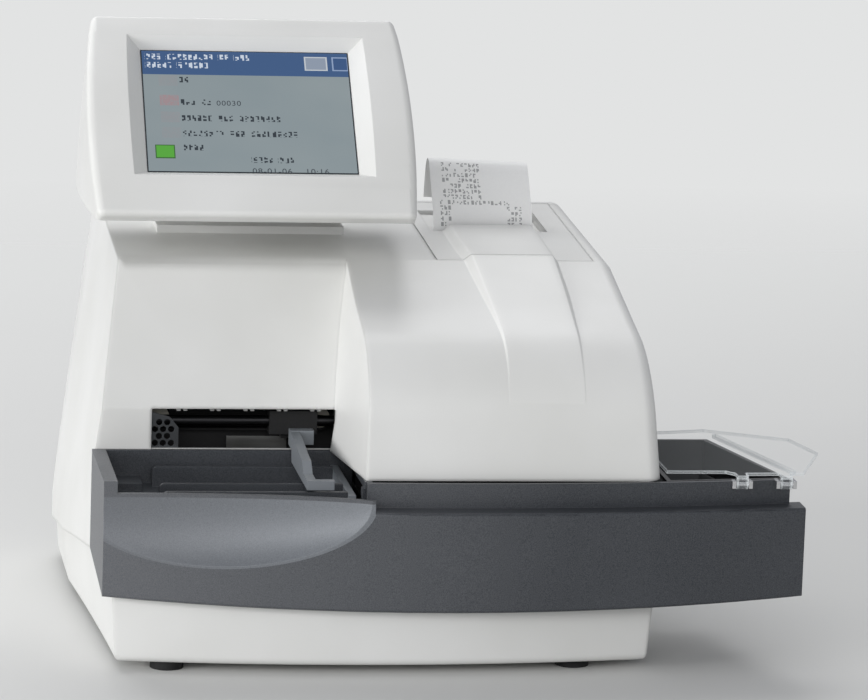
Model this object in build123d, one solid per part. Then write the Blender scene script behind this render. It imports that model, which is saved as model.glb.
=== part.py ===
"""Bench-top urine strip analyzer, built as the separate pieces it comes apart into. Millimetres.

Design frame: X to the right, Y to the back, Z up. X = 0 is the middle of the grey front fascia,
Y = 0 is its foremost point and Z = 0 is the bench. Every piece is moved at the end so that the
origin is the middle of the footprint.
"""
import os
from math import atan2, cos, pi, radians, sin, sqrt, tan

from build123d import *

os.makedirs("parts", exist_ok=True)

# ------------------------------------------------------------------ driving dimensions
# white housing
WALL = 3.0                    # wall of the housings and of the fascia
BODY_BACK = 332.0             # back face
BODY_LEFT_FRONT = -183.0      # left side at the front corner
BODY_LEFT_TRAY = -187.5       # left side where it meets the tray
BODY_LEFT_BACK = -195.0       # left side at the widest
BODY_RIGHT = 110.0            # right side, at the foot of the arch
BODY_FRONT_MIDDLE = 10.0      # front of the lower housing, middle of the bow
BODY_FRONT_CORNER = 22.0      # front of the lower housing, at the corners
BODY_CORNER_RADIUS = 45.0     # back corners in plan
FOOT_HEIGHT = 5.0             # the lower housing stands this far off the bench
LOWER_TAPER = 4.0             # degrees, draft of the lower housing
LEFT_LEAN = 0.14              # left side moves in by this much per mm of height
RIGHT_LEAN = 0.09             # right side moves in by this much per mm of height
LEFT_LEAN_FOOT = 91.0         # height at which the left lean passes BODY_LEFT_TRAY
SEAM_PEAK = 49.6              # height of the seam where it meets the tray
SEAM_FRONT_SLOPE = 0.075      # seam slope in front of the tray back
SEAM_BACK_SLOPE = 0.128       # seam slope behind the tray back
DECK_FRONT_Y = 146.6          # line where the front surfaces turn into the top deck
DECK_FRONT_Z = 201.0
DECK_BACK_Z = 211.0
DECK_BACK_RADIUS = 26.0
LIP_Z = 126.0                 # upper edge of the strip opening
ARCH_RIGHT_ROUND = 7.0        # radii of the outer edges
BASE_ROUND = 4.0
FASCIA_ROUND = 1.5

# arch over the reading station
ARCH_LEFT = -46.0
ARCH_FRONT = 21.0
ARCH_UPRIGHT_Z = 134.0        # top of the near-upright part of the arch front
ARCH_UPRIGHT_LEAN = 2.8       # how far the upright part leans back over its height
ARCH_RADIUS = 50.0
ARCH_SHOULDER_SLOPE = 14.7    # degrees, slope of the arch above its radius
ARCH_WALL_SPLAY = 0.2         # left wall of the arch spreads outward per mm below the deck

# grey front fascia
FASCIA_LENGTH = 375.0
FASCIA_SAG = 15.0             # bow of the front face, middle to end
FASCIA_BOTTOM = 37.0
FASCIA_END_RISE = 6.0         # the bottom edge is this much higher at the ends
LEDGE_Z = 91.0                # the small ledge along the front
LEDGE_DEPTH = 13.0
RIM_Z = 104.0                 # top of the upper band and of the tray walls
BAND_END_INSET = 6.5          # upper band stops this far from the right end
TRAY_SIDE_WALL = 7.3
TRAY_BACK = 102.0             # back face of the tray's back wall
# finger scoop in the fascia: an ellipsoid, continued straight up from its middle
SCOOP_CENTRE = (-170.0, -10.0, 95.0)
SCOOP_RADII = (132.6, 28.0, 46.8)
LIP_RISE = 0.5                # the tray's front lip stands this far above the strips

# strip path
STRIP_Z = 97.0                # plane on which the strips lie
TRAY_FLOOR_Z = 86.0
TRAY_LEFT_RIB_X = -156.0
TRAY_RIGHT = -50.0
RIB_YS = (24.5, 45.0, 89.0)
RIB_WIDTH = 3.0
FLOOR_THICKNESS = 2.5
OPENING_LEFT = -155.5
OPENING_RIGHT = -55.5
PLATFORM_RIGHT = 104.0
PLATFORM_BACK = 121.0
TABLE_RIB_YS = (35.0, 67.0, 102.0)
TABLE_STEP = 12.0             # how far the moving table carries strips each cycle
TABLE_LIFT = 4.0
TABLE_REST_DROP = 1.5         # table ribs rest this far below the strips

# push bar and its drive
PUSH_X = -77.5                # middle of the bar at rest, right end of its travel
PUSH_BAR_WIDTH = 5.0
RAIL_Y = 117.0
RAIL_Z = 117.0
ROD_DIAMETER = 6.0
ROD_FIT = 0.05                # radial running clearance
PULLEY_RADIUS = 6.0
BELT_WIDTH = 5.0
BELT_THICKNESS = 1.2

# reading head
HEAD_RODS_X = (14.0, 66.0)
HEAD_ROD_Z = 128.0
HEAD_LENGTH = 30.0
GANTRY_FRONT = 30.5
GANTRY_PLATE = 2.5

# waste well at the right end
WELL_LEFT = 113.0
WELL_BACK = 134.0
WELL_BOTTOM = 48.0            # stands on the steel arm
WELL_WALL = 2.5
WELL_BACK_RIGHT = 157.0       # the right wall runs inward to here at the back
LINER_CLEARANCE = 0.6
LINER_WALL = 1.5
COVER_THICKNESS = 1.6
COVER_RISE = 2.6              # underside of the clear cover above the rim
COVER_OVERHANG = 207.4        # furthest point to the right

# display
LCD_SIZE = (115.2, 86.4)
LCD_CENTRE = (-100.0, 169.0, 279.0)
DISPLAY_LEAN = 47.5           # degrees from upright
DISPLAY_WIDTH = 171.0
DISPLAY_BELOW = 78.0          # face below the middle of the screen, along the face
DISPLAY_ABOVE = 69.0
SCREEN_RECESS = 7.0
SCREEN_MARGIN = 7.0
DISPLAY_WALL = 2.5
DISPLAY_BOTTOM_Z = 226.5
DISPLAY_BACK_Y = 252.0
BEZEL_DEPTH = 12.0
NECK_LEFT = -145.0
NECK_RIGHT = -40.0
NECK_FRONT = 212.0
NECK_DEPTH = 46.0
HINGE_Z = 221.0
DISPLAY_ROUND = 3.0
DISPLAY_SIDE_ROUND = 4.0
HINGE_PIN_RADIUS = 4.0
KNUCKLE_RADIUS = 8.5

# printer
PAPER_WIDTH = 57.0
PAPER_LEFT = 13.5
PAPER_THICKNESS = 0.4
PAPER_OUT_SETBACK = 75.0      # from the cover's back edge to where the paper leaves the slot
PAPER_TOP_Z = 244.0
COVER_LEFT = 4.0
COVER_RIGHT = 92.0
COVER_BACK_INSET = 29.0
COVER_GAP = 0.6
SLOT_BACK_INSET = 23.0        # from the cover's back edge
ROLL_RADIUS = 24.0
ROLL_SETBACK = 27.0           # from the cover's back edge
ROLL_Z = 160.0
SPINDLE_RADIUS = 6.0
PLATEN_RADIUS = 7.0
PLATEN_Z = 184.0
GEAR_MODULE = 1.0
PLATEN_TEETH = 24
DRIVE_TEETH = 12
FRAME_SHEET = 2.0

# inside the housing
CHASSIS_Z = 60.0
CHASSIS_SHEET = 1.5
BOARD_Z = 20.0
BOARD_SHEET = 1.6
FAN_SIZE = 60.0
FAN_DEPTH = 15.0
PANEL_LEFT = -125.0
PANEL_RIGHT = 60.0
PANEL_BOTTOM = 33.0
PANEL_TOP = 98.0
BOTTOM_VENTS = 8
BOTTOM_VENT_PITCH = 9.0
BACK_VENTS = 10
BACK_VENT_PITCH = 6.0
LIP_CATCHES = 5               # pairs of catches under the lip of the opening
LIP_CATCH_PITCH = 18.2
ARM_Z = 46.0                  # steel arm under the waste well
ARM_FRONT = 50.0
ARM_BACK = 100.0
FREE_GAP = 0.3                # pieces that rest near each other without a fit
TRAY_LIFT_ROOM = 3.2          # strips pass under the tray's right rim
BRIDGE_WIDTH = 4.0
PILLAR_DEPTH = 4.0

# ------------------------------------------------------------------ derived sizes
HALF = FASCIA_LENGTH / 2
FRONT_RADIUS = (HALF**2 + FASCIA_SAG**2) / (2 * FASCIA_SAG)
FLOOR_Z = FOOT_HEIGHT + WALL
CHASSIS_TOP = CHASSIS_Z + CHASSIS_SHEET
HOUSING_FRONT = TRAY_BACK + 1.0
INSIDE_FRONT = HOUSING_FRONT + WALL + 1.0
COVER_BACK = BODY_BACK - COVER_BACK_INSET
PAPER_OUT_Y = COVER_BACK - PAPER_OUT_SETBACK
SLOT_BACK = COVER_BACK - SLOT_BACK_INSET
ROLL_Y = COVER_BACK - ROLL_SETBACK
PLATEN_Y = PAPER_OUT_Y + PLATEN_RADIUS + 1.0
BIG = 600.0

pieces = {}


def block(x0, x1, y0, y1, z0, z1):
    """A box between two corners."""
    size = Box(x1 - x0, y1 - y0, z1 - z0)
    return Pos((x0 + x1) / 2, (y0 + y1) / 2, (z0 + z1) / 2) * size


def rod_x(x0, x1, y, z, radius):
    return Pos((x0 + x1) / 2, y, z) * Rot(0, 90, 0) * Cylinder(radius, x1 - x0)


def rod_y(x, y0, y1, z, radius):
    return Pos(x, (y0 + y1) / 2, z) * Rot(90, 0, 0) * Cylinder(radius, y1 - y0)


def rod_z(x, y, z0, z1, radius):
    return Pos(x, y, (z0 + z1) / 2) * Cylinder(radius, z1 - z0)


def side_plate(face_yz, x0, x1):
    """Extrude a face drawn in (y, z) from x0 to x1."""
    plane = Plane(origin=(x0, 0, 0), x_dir=(0, 1, 0), z_dir=(1, 0, 0))
    return extrude(plane * face_yz, amount=x1 - x0)


def front_plate(face_xz, y0, y1):
    """Extrude a face drawn in (x, z) from y0 back to y1."""
    plane = Plane(origin=(0, y1, 0), x_dir=(1, 0, 0), z_dir=(0, -1, 0))
    return extrude(plane * face_xz, amount=y1 - y0)


def plan_plate(face_xy, z0, z1, taper=0.0):
    return extrude(Pos(0, 0, z0) * face_xy, amount=z1 - z0, taper=taper)


def polygon(*points):
    return make_face(Polyline(*points, close=True))


def shrink(face, amount):
    """The same outline, moved inward with its corners kept sharp."""
    if amount == 0:
        return face
    return offset(face, amount=-amount, kind=Kind.INTERSECTION)


def near(value, target, reach=0.1):
    return abs(value - target) < reach


def round_edges(form, radius, chosen):
    """Round the edges whose middle point passes the test."""
    return fillet([e for e in form.edges() if chosen(e @ 0.5)], radius)


def front_y(x):
    """Y of the fascia's bowed front face at x."""
    return FRONT_RADIUS - sqrt(FRONT_RADIUS**2 - x**2)


def seam_z(y):
    slope = SEAM_FRONT_SLOPE if y < HOUSING_FRONT else -SEAM_BACK_SLOPE
    return SEAM_PEAK + slope * (y - HOUSING_FRONT)


def deck_z(y):
    rise = (DECK_BACK_Z - DECK_FRONT_Z) / (BODY_BACK - DECK_FRONT_Y)
    return DECK_FRONT_Z + rise * (y - DECK_FRONT_Y)


# ------------------------------------------------------------------ white housing
def body_outline():
    """Plan of the white body: bowed front, left side that widens, rounded back corners."""
    radius = BODY_CORNER_RADIUS
    front_left = (BODY_LEFT_FRONT, BODY_FRONT_CORNER)
    front_right = (BODY_RIGHT, BODY_FRONT_CORNER)
    middle = ((BODY_LEFT_FRONT + BODY_RIGHT) / 2, BODY_FRONT_MIDDLE)
    side_back = BODY_BACK - radius
    left_corner = (BODY_LEFT_BACK + radius, BODY_BACK)
    right_corner = (BODY_RIGHT - radius, BODY_BACK)
    widest = (BODY_LEFT_BACK, 2 * HOUSING_FRONT)
    return make_face([
        ThreePointArc(front_left, middle, front_right),
        Line(front_right, (BODY_RIGHT, side_back)),
        RadiusArc((BODY_RIGHT, side_back), right_corner, -radius),
        Line(right_corner, left_corner),
        RadiusArc(left_corner, (BODY_LEFT_BACK, side_back), -radius),
        Line((BODY_LEFT_BACK, side_back), widest),
        ThreePointArc(widest, (BODY_LEFT_TRAY, HOUSING_FRONT), front_left),
    ])


def left_profile():
    """Side view of the left part: upright lip, leaning front, deck, rounded back."""
    back_top = deck_z(BODY_BACK) - DECK_BACK_RADIUS
    deck_end = (BODY_BACK - DECK_BACK_RADIUS, deck_z(BODY_BACK - DECK_BACK_RADIUS))
    return make_face([
        Line((HOUSING_FRONT, -10), (HOUSING_FRONT, LIP_Z)),
        Line((HOUSING_FRONT, LIP_Z), (DECK_FRONT_Y, DECK_FRONT_Z)),
        Line((DECK_FRONT_Y, DECK_FRONT_Z), deck_end),
        RadiusArc(deck_end, (BODY_BACK, back_top), DECK_BACK_RADIUS),
        Line((BODY_BACK, back_top), (BODY_BACK, -10)),
        Line((BODY_BACK, -10), (HOUSING_FRONT, -10)),
    ])


def arch_front_line():
    """Foot, top of the upright part, and the end of the shoulder arc, in (y, z)."""
    foot = (ARCH_FRONT, RIM_Z)
    top = (ARCH_FRONT + ARCH_UPRIGHT_LEAN, ARCH_UPRIGHT_Z)
    lean = atan2(ARCH_UPRIGHT_LEAN, ARCH_UPRIGHT_Z - RIM_Z)
    slope = radians(ARCH_SHOULDER_SLOPE)
    centre = (top[0] + ARCH_RADIUS * cos(lean), top[1] - ARCH_RADIUS * sin(lean))
    shoulder = (centre[0] - ARCH_RADIUS * sin(slope), centre[1] + ARCH_RADIUS * cos(slope))
    turn = (pi / 2 - slope + lean) / 2
    middle = (centre[0] - ARCH_RADIUS * cos(turn - lean), centre[1] + ARCH_RADIUS * sin(turn - lean))
    return foot, top, middle, shoulder


def arch_profile(bottom):
    foot, top, middle, shoulder = arch_front_line()
    return make_face([
        Line((foot[0], bottom), foot),
        Line(foot, top),
        ThreePointArc(top, middle, shoulder),
        Line(shoulder, (DECK_FRONT_Y, DECK_FRONT_Z)),
        Line((DECK_FRONT_Y, DECK_FRONT_Z), (DECK_FRONT_Y + 30, deck_z(DECK_FRONT_Y + 30))),
        Line((DECK_FRONT_Y + 30, deck_z(DECK_FRONT_Y + 30)), (DECK_FRONT_Y + 30, bottom)),
        Line((DECK_FRONT_Y + 30, bottom), (foot[0], bottom)),
    ])


def side_lean_face(inset):
    """Front view: both sides lean inward with height."""
    def left(z):
        return BODY_LEFT_TRAY + LEFT_LEAN * (z - LEFT_LEAN_FOOT)

    def right(z):
        return BODY_RIGHT - RIGHT_LEAN * (z - RIM_Z)
    high = 260.0
    outline = polygon((left(-20), -20), (left(high), high), (right(high), high), (right(-20), -20))
    return shrink(outline, inset)


def arch_left_cutter(inset):
    """What lies left of the arch's left wall, which splays outward below the deck."""
    near, far = 0.0, 150.0
    low, high = RIM_Z - 60, DECK_FRONT_Z
    wall = ARCH_LEFT + inset
    away = ARCH_LEFT - 60
    splay = ARCH_WALL_SPLAY * (high - low)
    front = Plane(origin=(0, near, 0), x_dir=(1, 0, 0), z_dir=(0, 1, 0))
    back = Plane(origin=(0, far, 0), x_dir=(1, 0, 0), z_dir=(0, 1, 0))
    rectangle = front * polygon((away, -low), (wall, -low), (wall, -high - 20), (away, -high - 20))
    rise = 20 * ARCH_WALL_SPLAY
    splayed = back * polygon((away, -low), (wall - splay, -low), (wall + rise, -high - 20), (away, -high - 20))
    return loft([rectangle, splayed], ruled=True)


def upper_form(inset):
    """The upper body as a solid form; two of these make the shell."""
    outline = plan_plate(shrink(body_outline(), inset), -5, 255)
    lean = front_plate(side_lean_face(inset), -20, BODY_BACK + 20)
    left = side_plate(shrink(left_profile(), inset), -BIG / 2, BIG / 2)
    arch = side_plate(shrink(arch_profile(RIM_Z - 12), inset), ARCH_LEFT - 40, BODY_RIGHT + 20)
    arch = arch - arch_left_cutter(inset)
    return (left & outline & lean) + (arch & lean)


def rounded_upper_form():
    """The upper form with the soft outer edge along the arch's right side."""
    back = BODY_BACK - DECK_BACK_RADIUS - 1
    foot = ARCH_FRONT + ARCH_UPRIGHT_LEAN / 4
    side = BODY_RIGHT - RIGHT_LEAN * (DECK_BACK_Z - RIM_Z) - 1
    return round_edges(upper_form(0), ARCH_RIGHT_ROUND,
                       lambda m: m.X > side and RIM_Z + 14 < m.Z and foot < m.Y < back)


def lower_top_cutter():
    """Everything above the seam."""
    return side_plate(polygon((-30, seam_z(-30)), (HOUSING_FRONT, SEAM_PEAK), (BODY_BACK + 30, seam_z(BODY_BACK + 30)),
                              (BODY_BACK + 30, BIG), (-30, BIG)), -BIG / 2, BIG / 2)


CHASSIS_POSTS = [(-162, 52), (-150, 258), (0, 42), (75, 80), (90, 294), (-30, 294)]
BOARD_POSTS = [(-140, 70), (-140, 200), (-20, 70), (-20, 200)]
FEET = [(-150.8, 35.0), (68.0, 38.0), (-150.8, 292.0), (68.0, 292.0)]
FOOT_RADIUS = 9.0
LOWER_MOUTH_Z = 62.0


def lower_form(inset, bottom):
    draft = tan(radians(LOWER_TAPER))
    face = shrink(body_outline(), inset)
    low = shrink(face, draft * (LOWER_MOUTH_Z - bottom))
    return plan_plate(low, bottom, LOWER_MOUTH_Z, taper=-LOWER_TAPER)


def lower_housing():
    outer = round_edges(lower_form(0, FOOT_HEIGHT), BASE_ROUND, lambda m: near(m.Z, FOOT_HEIGHT))
    shell = outer - lower_form(WALL, FLOOR_Z)
    shell = shell - lower_top_cutter()
    for x, y in CHASSIS_POSTS:
        shell += rod_z(x, y, FLOOR_Z - 0.5, CHASSIS_Z, 5.0)
    for x, y in BOARD_POSTS:
        shell += rod_z(x, y, FLOOR_Z - 0.5, BOARD_Z, 3.5)
    for i in range(BOTTOM_VENTS):
        x = -120 + i * BOTTOM_VENT_PITCH
        shell -= block(x, x + 4, 225, 275, 0, FLOOR_Z + 1)
    return shell - arm_window()


def arm_window():
    """Gap in the housings' right side through which the well's arm passes."""
    g = 0.5
    return block(BODY_RIGHT - 20, BODY_RIGHT + 5, ARM_FRONT - g, ARM_BACK + g, ARM_Z - g, ARM_Z + FRAME_SHEET + g)


def upper_housing():
    shell = rounded_upper_form() - upper_form(WALL)
    below = side_plate(polygon((HOUSING_FRONT, SEAM_PEAK), (BODY_BACK + 30, seam_z(BODY_BACK + 30)),
                               (BODY_BACK + 30, -50), (-30, -50), (-30, RIM_Z), (HOUSING_FRONT, RIM_Z)),
                       -BIG / 2, BIG / 2)
    shell -= below
    # strip opening in the front of the left part, and the open side of the arch
    shell -= block(OPENING_LEFT, OPENING_RIGHT, HOUSING_FRONT - 5, HOUSING_FRONT + 8, RIM_Z, LIP_Z)
    shell -= block(ARCH_LEFT - 6, BODY_RIGHT - 5, HOUSING_FRONT - 2, HOUSING_FRONT + WALL + 4, 0, RIM_Z + 30)
    shell -= block(BODY_LEFT_TRAY + 12, ARCH_LEFT, HOUSING_FRONT - 2, HOUSING_FRONT + WALL + 4, 0, TRAY_FLOOR_Z - 4)
    # paper compartment, under the printer cover
    shell -= block(COVER_LEFT, COVER_RIGHT, DECK_FRONT_Y + 3, COVER_BACK, DECK_FRONT_Z - 12, DECK_BACK_Z + 10)
    shell -= printer_hinge_line(0)
    # back: window for the rear panel, and vents
    shell -= block(PANEL_LEFT + 6, PANEL_RIGHT - 6, BODY_BACK - WALL - 1, BODY_BACK + 1, PANEL_BOTTOM + 6, PANEL_TOP - 6)
    for i in range(BACK_VENTS):
        z = 120 + i * BACK_VENT_PITCH
        shell -= block(-110, -40, BODY_BACK - WALL - 1, BODY_BACK + 1, z, z + 2.5)
    # pairs of small catches moulded under the lip of the opening
    for i in range(LIP_CATCHES):
        for side in (-1.8, 1.8):
            x = OPENING_LEFT + 16.5 + i * LIP_CATCH_PITCH + side
            shell += block(x - 1, x + 1, HOUSING_FRONT + WALL - 1, HOUSING_FRONT + WALL + 3, LIP_Z - 1.5, LIP_Z + 4.0)
    return shell - arm_window()


# ------------------------------------------------------------------ grey fascia
def bowed_strip(x0, x1, near, far):
    """Plan of a strip that follows the fascia's bow, between two depths behind it."""
    middle = (x0 + x1) / 2
    front = [(x, front_y(x) + near) for x in (x0, middle, x1)]
    back = [(x, front_y(x) + far) for x in (x0, middle, x1)]
    return make_face([
        ThreePointArc(*front), Line(front[2], back[2]),
        ThreePointArc(back[2], back[1], back[0]), Line(back[0], front[0]),
    ])


def fascia_front_view():
    """Front view with the bottom edge lower in the middle than at the ends."""
    half = HALF + 5
    end = FASCIA_BOTTOM + FASCIA_END_RISE
    return make_face([
        ThreePointArc((-half, end), (0, FASCIA_BOTTOM), (half, end)),
        Line((half, end), (half, BIG / 3)),
        Line((half, BIG / 3), (-half, BIG / 3)),
        Line((-half, BIG / 3), (-half, end)),
    ])


def scoop_form(grow):
    """Hollow for the fingers: an ellipsoid with an elliptic shaft above its middle."""
    a, b, c = (r + grow for r in SCOOP_RADII)
    ball = scale(Sphere(1.0), by=(a, b, c))
    shaft = extrude(Ellipse(a, b), amount=60)
    return Pos(*SCOOP_CENTRE) * (ball + shaft)


def front_fascia():
    ledge_back = LEDGE_DEPTH + WALL
    skin = plan_plate(bowed_strip(-HALF, HALF, 0, WALL), 0, LEDGE_Z)
    skin += plan_plate(bowed_strip(ARCH_LEFT - WALL, HALF, 0, ledge_back), LEDGE_Z - WALL, LEDGE_Z)
    skin += plan_plate(bowed_strip(HALF - WALL, HALF, 0, ledge_back), 0, LEDGE_Z)
    # left end wall, with the tray rim on top
    left_end = side_plate(
        polygon((front_y(HALF), seam_z(front_y(HALF))), (TRAY_BACK, seam_z(TRAY_BACK)),
                (TRAY_BACK, RIM_Z), (front_y(HALF), RIM_Z)),
        -HALF, -HALF + TRAY_SIDE_WALL)
    # the wall that carries the scoop, up to the strips' plane
    lip_top = STRIP_Z + LIP_RISE
    lip_back = SCOOP_CENTRE[1] + SCOOP_RADII[1] + WALL
    scoop_wall = scoop_form(WALL) & block(-HALF, ARCH_LEFT, -10, lip_back, FASCIA_BOTTOM, lip_top)
    scoop_wall &= plan_plate(bowed_strip(-HALF, HALF, 0, BIG / 6), 0, lip_top)
    band = plan_plate(bowed_strip(ARCH_LEFT - WALL, HALF - BAND_END_INSET, LEDGE_DEPTH, ledge_back),
                      LEDGE_Z - WALL, RIM_Z)
    fascia = skin + left_end + scoop_wall + band
    fascia &= front_plate(fascia_front_view(), -10, TRAY_BACK + 5)
    fascia -= scoop_form(0) & block(-HALF - 5, ARCH_LEFT - 1, -60, 60, 0, BIG)
    return rounded_fascia(fascia)


def rounded_fascia(fascia):
    """Round the long front edges of the ledge and the bottom."""
    middles = [(e, e @ 0.5) for e in fascia.edges() if e.length > HALF / 3]
    front = [(e, m) for e, m in middles if m.Y < front_y(m.X) + 1]
    ledge = [e for e, m in front if near(m.Z, LEDGE_Z)]
    bottom = [e for e, m in front if m.Z < FASCIA_BOTTOM + FASCIA_END_RISE + 1]
    return fillet(ledge + bottom, FASCIA_ROUND)


# ------------------------------------------------------------------ loading tray and strip path
TRAY_LEFT = -HALF + TRAY_SIDE_WALL
TRAY_FRONT = SCOOP_CENTRE[1] + SCOOP_RADII[1] + WALL
RIB_TOP = STRIP_Z
GUIDE_WIDTH = 4.0
GUIDE_RIGHT = TRAY_RIGHT - 4.0


def loading_tray():
    """Floor, back wall and long ribs that hold the strips clear of the floor."""
    floor = TRAY_FLOOR_Z - FLOOR_THICKNESS
    tray = block(TRAY_LEFT, TRAY_RIGHT, TRAY_FRONT, TRAY_BACK, floor, TRAY_FLOOR_Z)
    tray += block(TRAY_LEFT, TRAY_RIGHT, TRAY_BACK - WALL, TRAY_BACK, floor, RIM_Z)
    for y in RIB_YS:
        rib_right = GUIDE_RIGHT - GUIDE_WIDTH
        rib = block(TRAY_LEFT_RIB_X, rib_right, y, y + RIB_WIDTH, floor, RIB_TOP)
        corner = rib.edges().filter_by(Axis.Y).group_by(Axis.Z)[-1].sort_by(Axis.X)[0]
        tray += fillet(corner, RIB_WIDTH)
    # legs down to the chassis
    for x in (TRAY_LEFT + 38, TRAY_RIGHT - 12):
        tray += block(x, x + WALL, 35, TRAY_BACK - 10, CHASSIS_TOP, floor)
    # small step along the left wall
    tray += block(TRAY_LEFT, TRAY_LEFT_RIB_X - 6, TRAY_BACK - 24, TRAY_BACK - WALL, floor, TRAY_FLOOR_Z + 4)
    return tray + tray_bridge()


def tray_bridge():
    """Rim on the tray's right side; the strips pass under it into the arch."""
    low = STRIP_Z + TRAY_LIFT_ROOM
    x1 = ARCH_LEFT
    x0 = x1 - BRIDGE_WIDTH
    y0 = front_y(ARCH_LEFT) + LEDGE_DEPTH + WALL + FREE_GAP
    rim = block(x0, x1, y0, TRAY_BACK, low, RIM_Z)
    floor = TRAY_FLOOR_Z - FLOOR_THICKNESS
    rim += block(TRAY_RIGHT - 1, x1, TRAY_FRONT, TRAY_FRONT + PILLAR_DEPTH, floor, low)
    rim += block(TRAY_RIGHT - 1, x1, TRAY_BACK - PILLAR_DEPTH, TRAY_BACK, floor, RIM_Z)
    return rim


def tray_guide_rail():
    """Pale rail that leads the strips' front edge under the rim."""
    rail = block(GUIDE_RIGHT - GUIDE_WIDTH, GUIDE_RIGHT, TRAY_FRONT, TRAY_BACK - WALL, TRAY_FLOOR_Z, STRIP_Z - 1)
    return rail


PLATFORM_LEFT = ARCH_LEFT + 1.0
PLATFORM_FRONT = 24.0
TABLE_SLOT_SIDE = 2.5
TABLE_RIB_X = (PLATFORM_LEFT + 14, PLATFORM_RIGHT - 24)


def strip_platform():
    """Fixed platform under the arch: the ribs go on, with slots for the moving table."""
    floor = TRAY_FLOOR_Z - FLOOR_THICKNESS
    deck = block(PLATFORM_LEFT, PLATFORM_RIGHT, PLATFORM_FRONT, PLATFORM_BACK, floor, TRAY_FLOOR_Z)
    for y in RIB_YS[1:]:
        deck += block(PLATFORM_LEFT, PLATFORM_RIGHT, y, y + RIB_WIDTH, floor, RIB_TOP)
    for y0, y1 in ((PLATFORM_FRONT, PLATFORM_FRONT + WALL), (PLATFORM_BACK - WALL, PLATFORM_BACK)):
        deck += block(PLATFORM_LEFT, PLATFORM_RIGHT, y0, y1, floor, RIM_Z - FREE_GAP)
    for y in TABLE_RIB_YS:
        deck -= block(TABLE_RIB_X[0] - TABLE_SLOT_SIDE, TABLE_RIB_X[1] + TABLE_STEP + TABLE_SLOT_SIDE,
                      y - TABLE_SLOT_SIDE, y + RIB_WIDTH + TABLE_SLOT_SIDE, floor - 1, TRAY_FLOOR_Z + 1)
    for x in (PLATFORM_LEFT, PLATFORM_RIGHT - WALL):
        deck += block(x, x + WALL, PLATFORM_FRONT, PLATFORM_BACK, CHASSIS_TOP, floor)
    return deck


TABLE_PLATE_TOP = TRAY_FLOOR_Z - FLOOR_THICKNESS - TABLE_LIFT - 1.0
TABLE_PLATE = 2.0
LIFT_TOP = TABLE_PLATE_TOP - TABLE_PLATE
LIFT_PLATE = 3.0
LIFT_PINS = [(-20, 54), (80, 90)]
LIFT_PIN_RADIUS = 3.0


def moving_table():
    table = block(TABLE_RIB_X[0], TABLE_RIB_X[1], TABLE_RIB_YS[0], TABLE_RIB_YS[-1] + RIB_WIDTH,
                  LIFT_TOP, TABLE_PLATE_TOP)
    for y in TABLE_RIB_YS:
        table += block(TABLE_RIB_X[0], TABLE_RIB_X[1], y, y + RIB_WIDTH, LIFT_TOP, RIB_TOP - TABLE_REST_DROP)
    for x, y in LIFT_PINS:
        table -= block(x - TABLE_STEP - 8, x + 8, y - 8, y + 8, LIFT_TOP - 1, TABLE_PLATE_TOP + 1)
    return table


def table_lift_frame():
    frame = block(TABLE_RIB_X[0] - 4, TABLE_RIB_X[1] + 4, TABLE_RIB_YS[0], TABLE_RIB_YS[-1] + RIB_WIDTH,
                  LIFT_TOP - LIFT_PLATE, LIFT_TOP)
    for x, y in LIFT_PINS:
        frame += rod_z(x, y, LIFT_TOP - LIFT_PLATE, LIFT_TOP + 1.5, LIFT_PIN_RADIUS + 2.5)
        frame -= rod_z(x, y, 0, BIG, LIFT_PIN_RADIUS + ROD_FIT)
    return frame


def table_motor():
    """Motor behind the platform whose crank lifts and shifts the moving table."""
    x, y0, z = 25.0, PLATFORM_BACK + 8, CHASSIS_TOP + 18
    motor = block(x - 18, x + 18, y0, y0 + 30, CHASSIS_TOP, CHASSIS_TOP + 36)
    motor += rod_y(x, y0 - 6, y0, z, 2.5)
    motor += rod_y(x, y0 - 6, y0 - 3, z, 11)
    motor += rod_y(x + 7, y0 - 9, y0 - 6, z, 2)
    return motor


# ------------------------------------------------------------------ push bar and its drive
CARRIAGE = (26.0, 13.0, 13.0)
BELT_Y = RAIL_Y + CARRIAGE[1] / 2 + 1.5
PULLEY_X = (OPENING_LEFT + 6, OPENING_RIGHT - 6)
PULLEY_SPIN_GAP = 0.3
MOTOR_PLATE_Y = BELT_Y + BELT_WIDTH + 2.0
PULLEY_BORE = 1.5
MOTOR_SHAFT = 1.5


def rail_brackets():
    """Two upright sheet plates that hold the rail's ends."""
    plates = Part()
    for x in (OPENING_LEFT - 4, OPENING_RIGHT + 1):
        plates += block(x, x + FRAME_SHEET, RAIL_Y - 7, RAIL_Y + 6, CHASSIS_TOP, RAIL_Z + 7)
        plates += block(x - 6, x + 8, RAIL_Y - 7, RAIL_Y + 6, CHASSIS_TOP, CHASSIS_TOP + FRAME_SHEET)
    return plates - push_rail(ROD_FIT)


def push_rail(extra=0.0):
    return rod_x(OPENING_LEFT - 6, OPENING_RIGHT + 5, RAIL_Y, RAIL_Z, ROD_DIAMETER / 2 + extra)


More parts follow.
